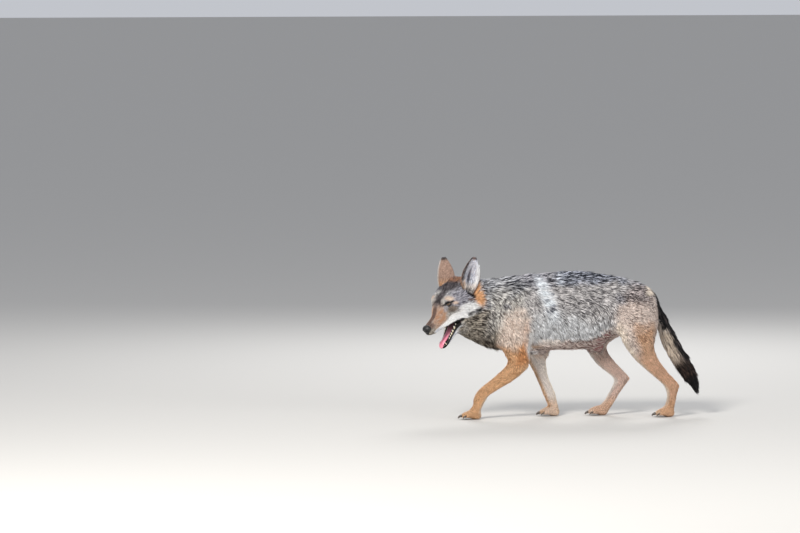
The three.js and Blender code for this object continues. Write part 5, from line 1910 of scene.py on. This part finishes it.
def storeUnwrap(mesh, faceZone):
    # lays each zone out flat: round its own form one way, and along it the other
    points, starts, faceOf = cornersOf(mesh)
    tailMiddle = alongLine(places, tailLine)[2]
    bodyRun = spanShare(places[:, 0])
    side = (roundBody / 180, bodyRun)
    neckTurn = turnShare(places[:, 1], places[:, 2] - middleZ)
    headForm = (turnShare(head[:, 1], headZ + 30), spanShare(headX))
    legForm = legUnwrap()
    forms = {
        "left": side,
        "right": side,
        "neck": (neckTurn, bodyRun),
        "face": headForm,
        "crown": headForm,
        "shoulders": legForm,
        "thighs": legForm,
        "legs": legForm,
        "tail": (turnShare(places[:, 1], -(places[:, 0] - tailMiddle[:, 0])), tailRun),
        "back": (neckTurn, bodyRun),
    }
    flat = np.zeros((len(points), 3))
    for name, (turn, run) in forms.items():
        mine = faceZone[faceOf] == zoneOf[name]
        around, along = turn[points[mine]], run[points[mine]]
        if forms[name] is not legForm:
            reference = turn[points[starts[faceOf[mine]]]]
            around = around + np.round(reference - around)
        low, high = along.min(), along.max()
        flat[mine, 0] = 0.02 + 0.90 * around
        flat[mine, 1] = 0.02 + 0.94 * (along - low) / (high - low)
    store(mesh, "unwrap", flat, "CORNER")


firstPoints = np.array([face.vertices[0] for face in skinMesh.polygons])
faceZone = zoneOfPoint()[firstPoints]
storeZone(skinMesh, faceZone)
storeUnwrap(skinMesh, faceZone)

# no hair grows in the mouth, on the lips or round the nose's pad, and it stands thin elsewhere
thinning = {
    "lids": 0.9,  # the share of the hair that is left out round the eyes
    "belly": 0.62,
    "bellyFrom": (-0.12, 0.0),  # places along the body between which the belly's hair thins
    "groin": 0.8,
    "sole": (0.004, 0.012),  # heights between which the hair begins above the soles
}
bare = np.clip(mouth + lipBand * 1.1 + smoothStep(*noseHollow["bareReach"], underNose), 0, 1)
nearEye = smoothStep(*lidSettings["bareReach"], np.minimum(*[
    np.linalg.norm(head - np.array(headSettings["eye"]) * (1, side, 1), axis=1) for side in (1, -1)
]))
thick = (1 - bare) * (1 - nearEye * thinning["lids"]) * (1 - eyeHollow)
thick *= 1 - thinning["belly"] * zones["belly"] * smoothStep(*thinning["bellyFrom"], places[:, 0])
thick *= 1 - thinning["groin"] * np.clip(groin, 0, 1)
thick *= smoothStep(*thinning["sole"], places[:, 2])
store(skinMesh, "thick", thick)

locks, coatTrees = {}, {}
for kind, shape in lockShapes.items():
    locks[kind] = []
    for index, sweep in enumerate(shape["sweeps"]):
        name = f"lock_{kind}_{index}"
        locks[kind].append(newObject(name, lockMesh(name, sweep, shape["stations"])))
    coatTrees[kind] = coatTree(f"{kind}_coat", locks[kind])


def growZone(name, settings, index, ground, way, density):
    inputs = dict(way, Zone=index, Seed=way["Seed"] + index, Material=wolfCoat)
    inputs["Locks per area"] = density
    keepPiece(coatPiece(name, ground, coatTrees[settings["lock"]], inputs), settings["slot"])


faceAreas = np.array([face.area for face in skinMesh.polygons])
for index, (name, settings) in enumerate(coatZones.items()):
    mine = faceZone == index
    cover = (faceAreas[mine] * thick[firstPoints[mine]]).sum()
    density = settings["locks"] / cover * sownShare
    growZone(name, settings, index, skinMesh, coatWays["body"], density)
for index, (name, settings) in enumerate(earZones.items()):
    growZone(name, settings, index, earMesh, coatWays["ears"], settings["locks"] / earArea)
for lock in locks["long"] + locks["short"]:
    bpy.data.objects.remove(lock)
keepPiece(skin, "coat", *fleshNodes)


# ---- camera, light and floor

viewSettings = {
    "azimuth": -8,
    "elevation": 4,
    "distance": 25,
    "width": 3.36,  # metres that the picture spans at the wolf
    "middle": (-0.672, 0.632),  # the picture's middle, to the right of and above the origin
    "shift": (0.0101, 0.0180, 0),  # from the source's own origin to the frame's
}


def placeCamera(settings):
    azimuth, elevation = math.radians(settings["azimuth"]), math.radians(settings["elevation"])
    level, rise = math.cos(elevation), math.sin(elevation)
    back = Vector((math.sin(azimuth) * level, -math.cos(azimuth) * level, rise))
    right = Vector((math.cos(azimuth), math.sin(azimuth), 0))
    up = back.cross(right)
    across, above = settings["middle"]
    target = Vector(settings["shift"]) + right * across + up * above
    data = bpy.data.cameras.new("camera")
    data.sensor_width = 36
    data.lens = 36 * settings["distance"] / settings["width"]
    data.clip_end = 200
    camera = newObject("camera", data)
    camera.rotation_mode = "QUATERNION"
    camera.location = target + back * settings["distance"]
    camera.rotation_quaternion = (-back).to_track_quat("-Z", "Y")
    scene.camera = camera


def areaLight(name, place, aim, size, power, colour=(1, 1, 1)):
    data = bpy.data.lights.new(name, "AREA")
    data.shape = "DISK"
    data.size = size
    data.energy = power
    data.color = colour
    light = newObject(name, data)
    light.location = place
    light.rotation_mode = "QUATERNION"
    light.rotation_quaternion = (Vector(aim) - Vector(place)).to_track_quat("-Z", "Y")


def makeStage():
    floorMesh = meshFrom("floor", [(-60, -60, 0), (60, -60, 0), (60, 60, 0), (-60, 60, 0)], [(0, 1, 2, 3)])
    floor = newObject("floor", floorMesh)
    material, _, shader = newMaterial("floor", 0.9, specular=0.1)
    shader.inputs["Base Color"].default_value = (0.52, 0.51, 0.49, 1)
    floorMesh.materials.append(material)
    world = bpy.data.worlds.new("studio")
    world.use_nodes = True
    world.node_tree.nodes["Background"].inputs["Color"].default_value = (0.90, 0.93, 1.0, 1)
    world.node_tree.nodes["Background"].inputs["Strength"].default_value = 0.6
    scene.world = world


placeCamera(viewSettings)
areaLight("key", (-3.6, -5.4, 5.2), (-0.05, 0, 0.35), 2.2, 660, (1.0, 0.97, 0.92))
areaLight("fill", (3.8, -4.0, 2.2), (0, 0, 0.35), 3.0, 100)
areaLight("rim", (0.8, 3.8, 3.2), (0, 0, 0.4), 2.0, 110)
makeStage()
scene.view_settings.view_transform = "Standard"
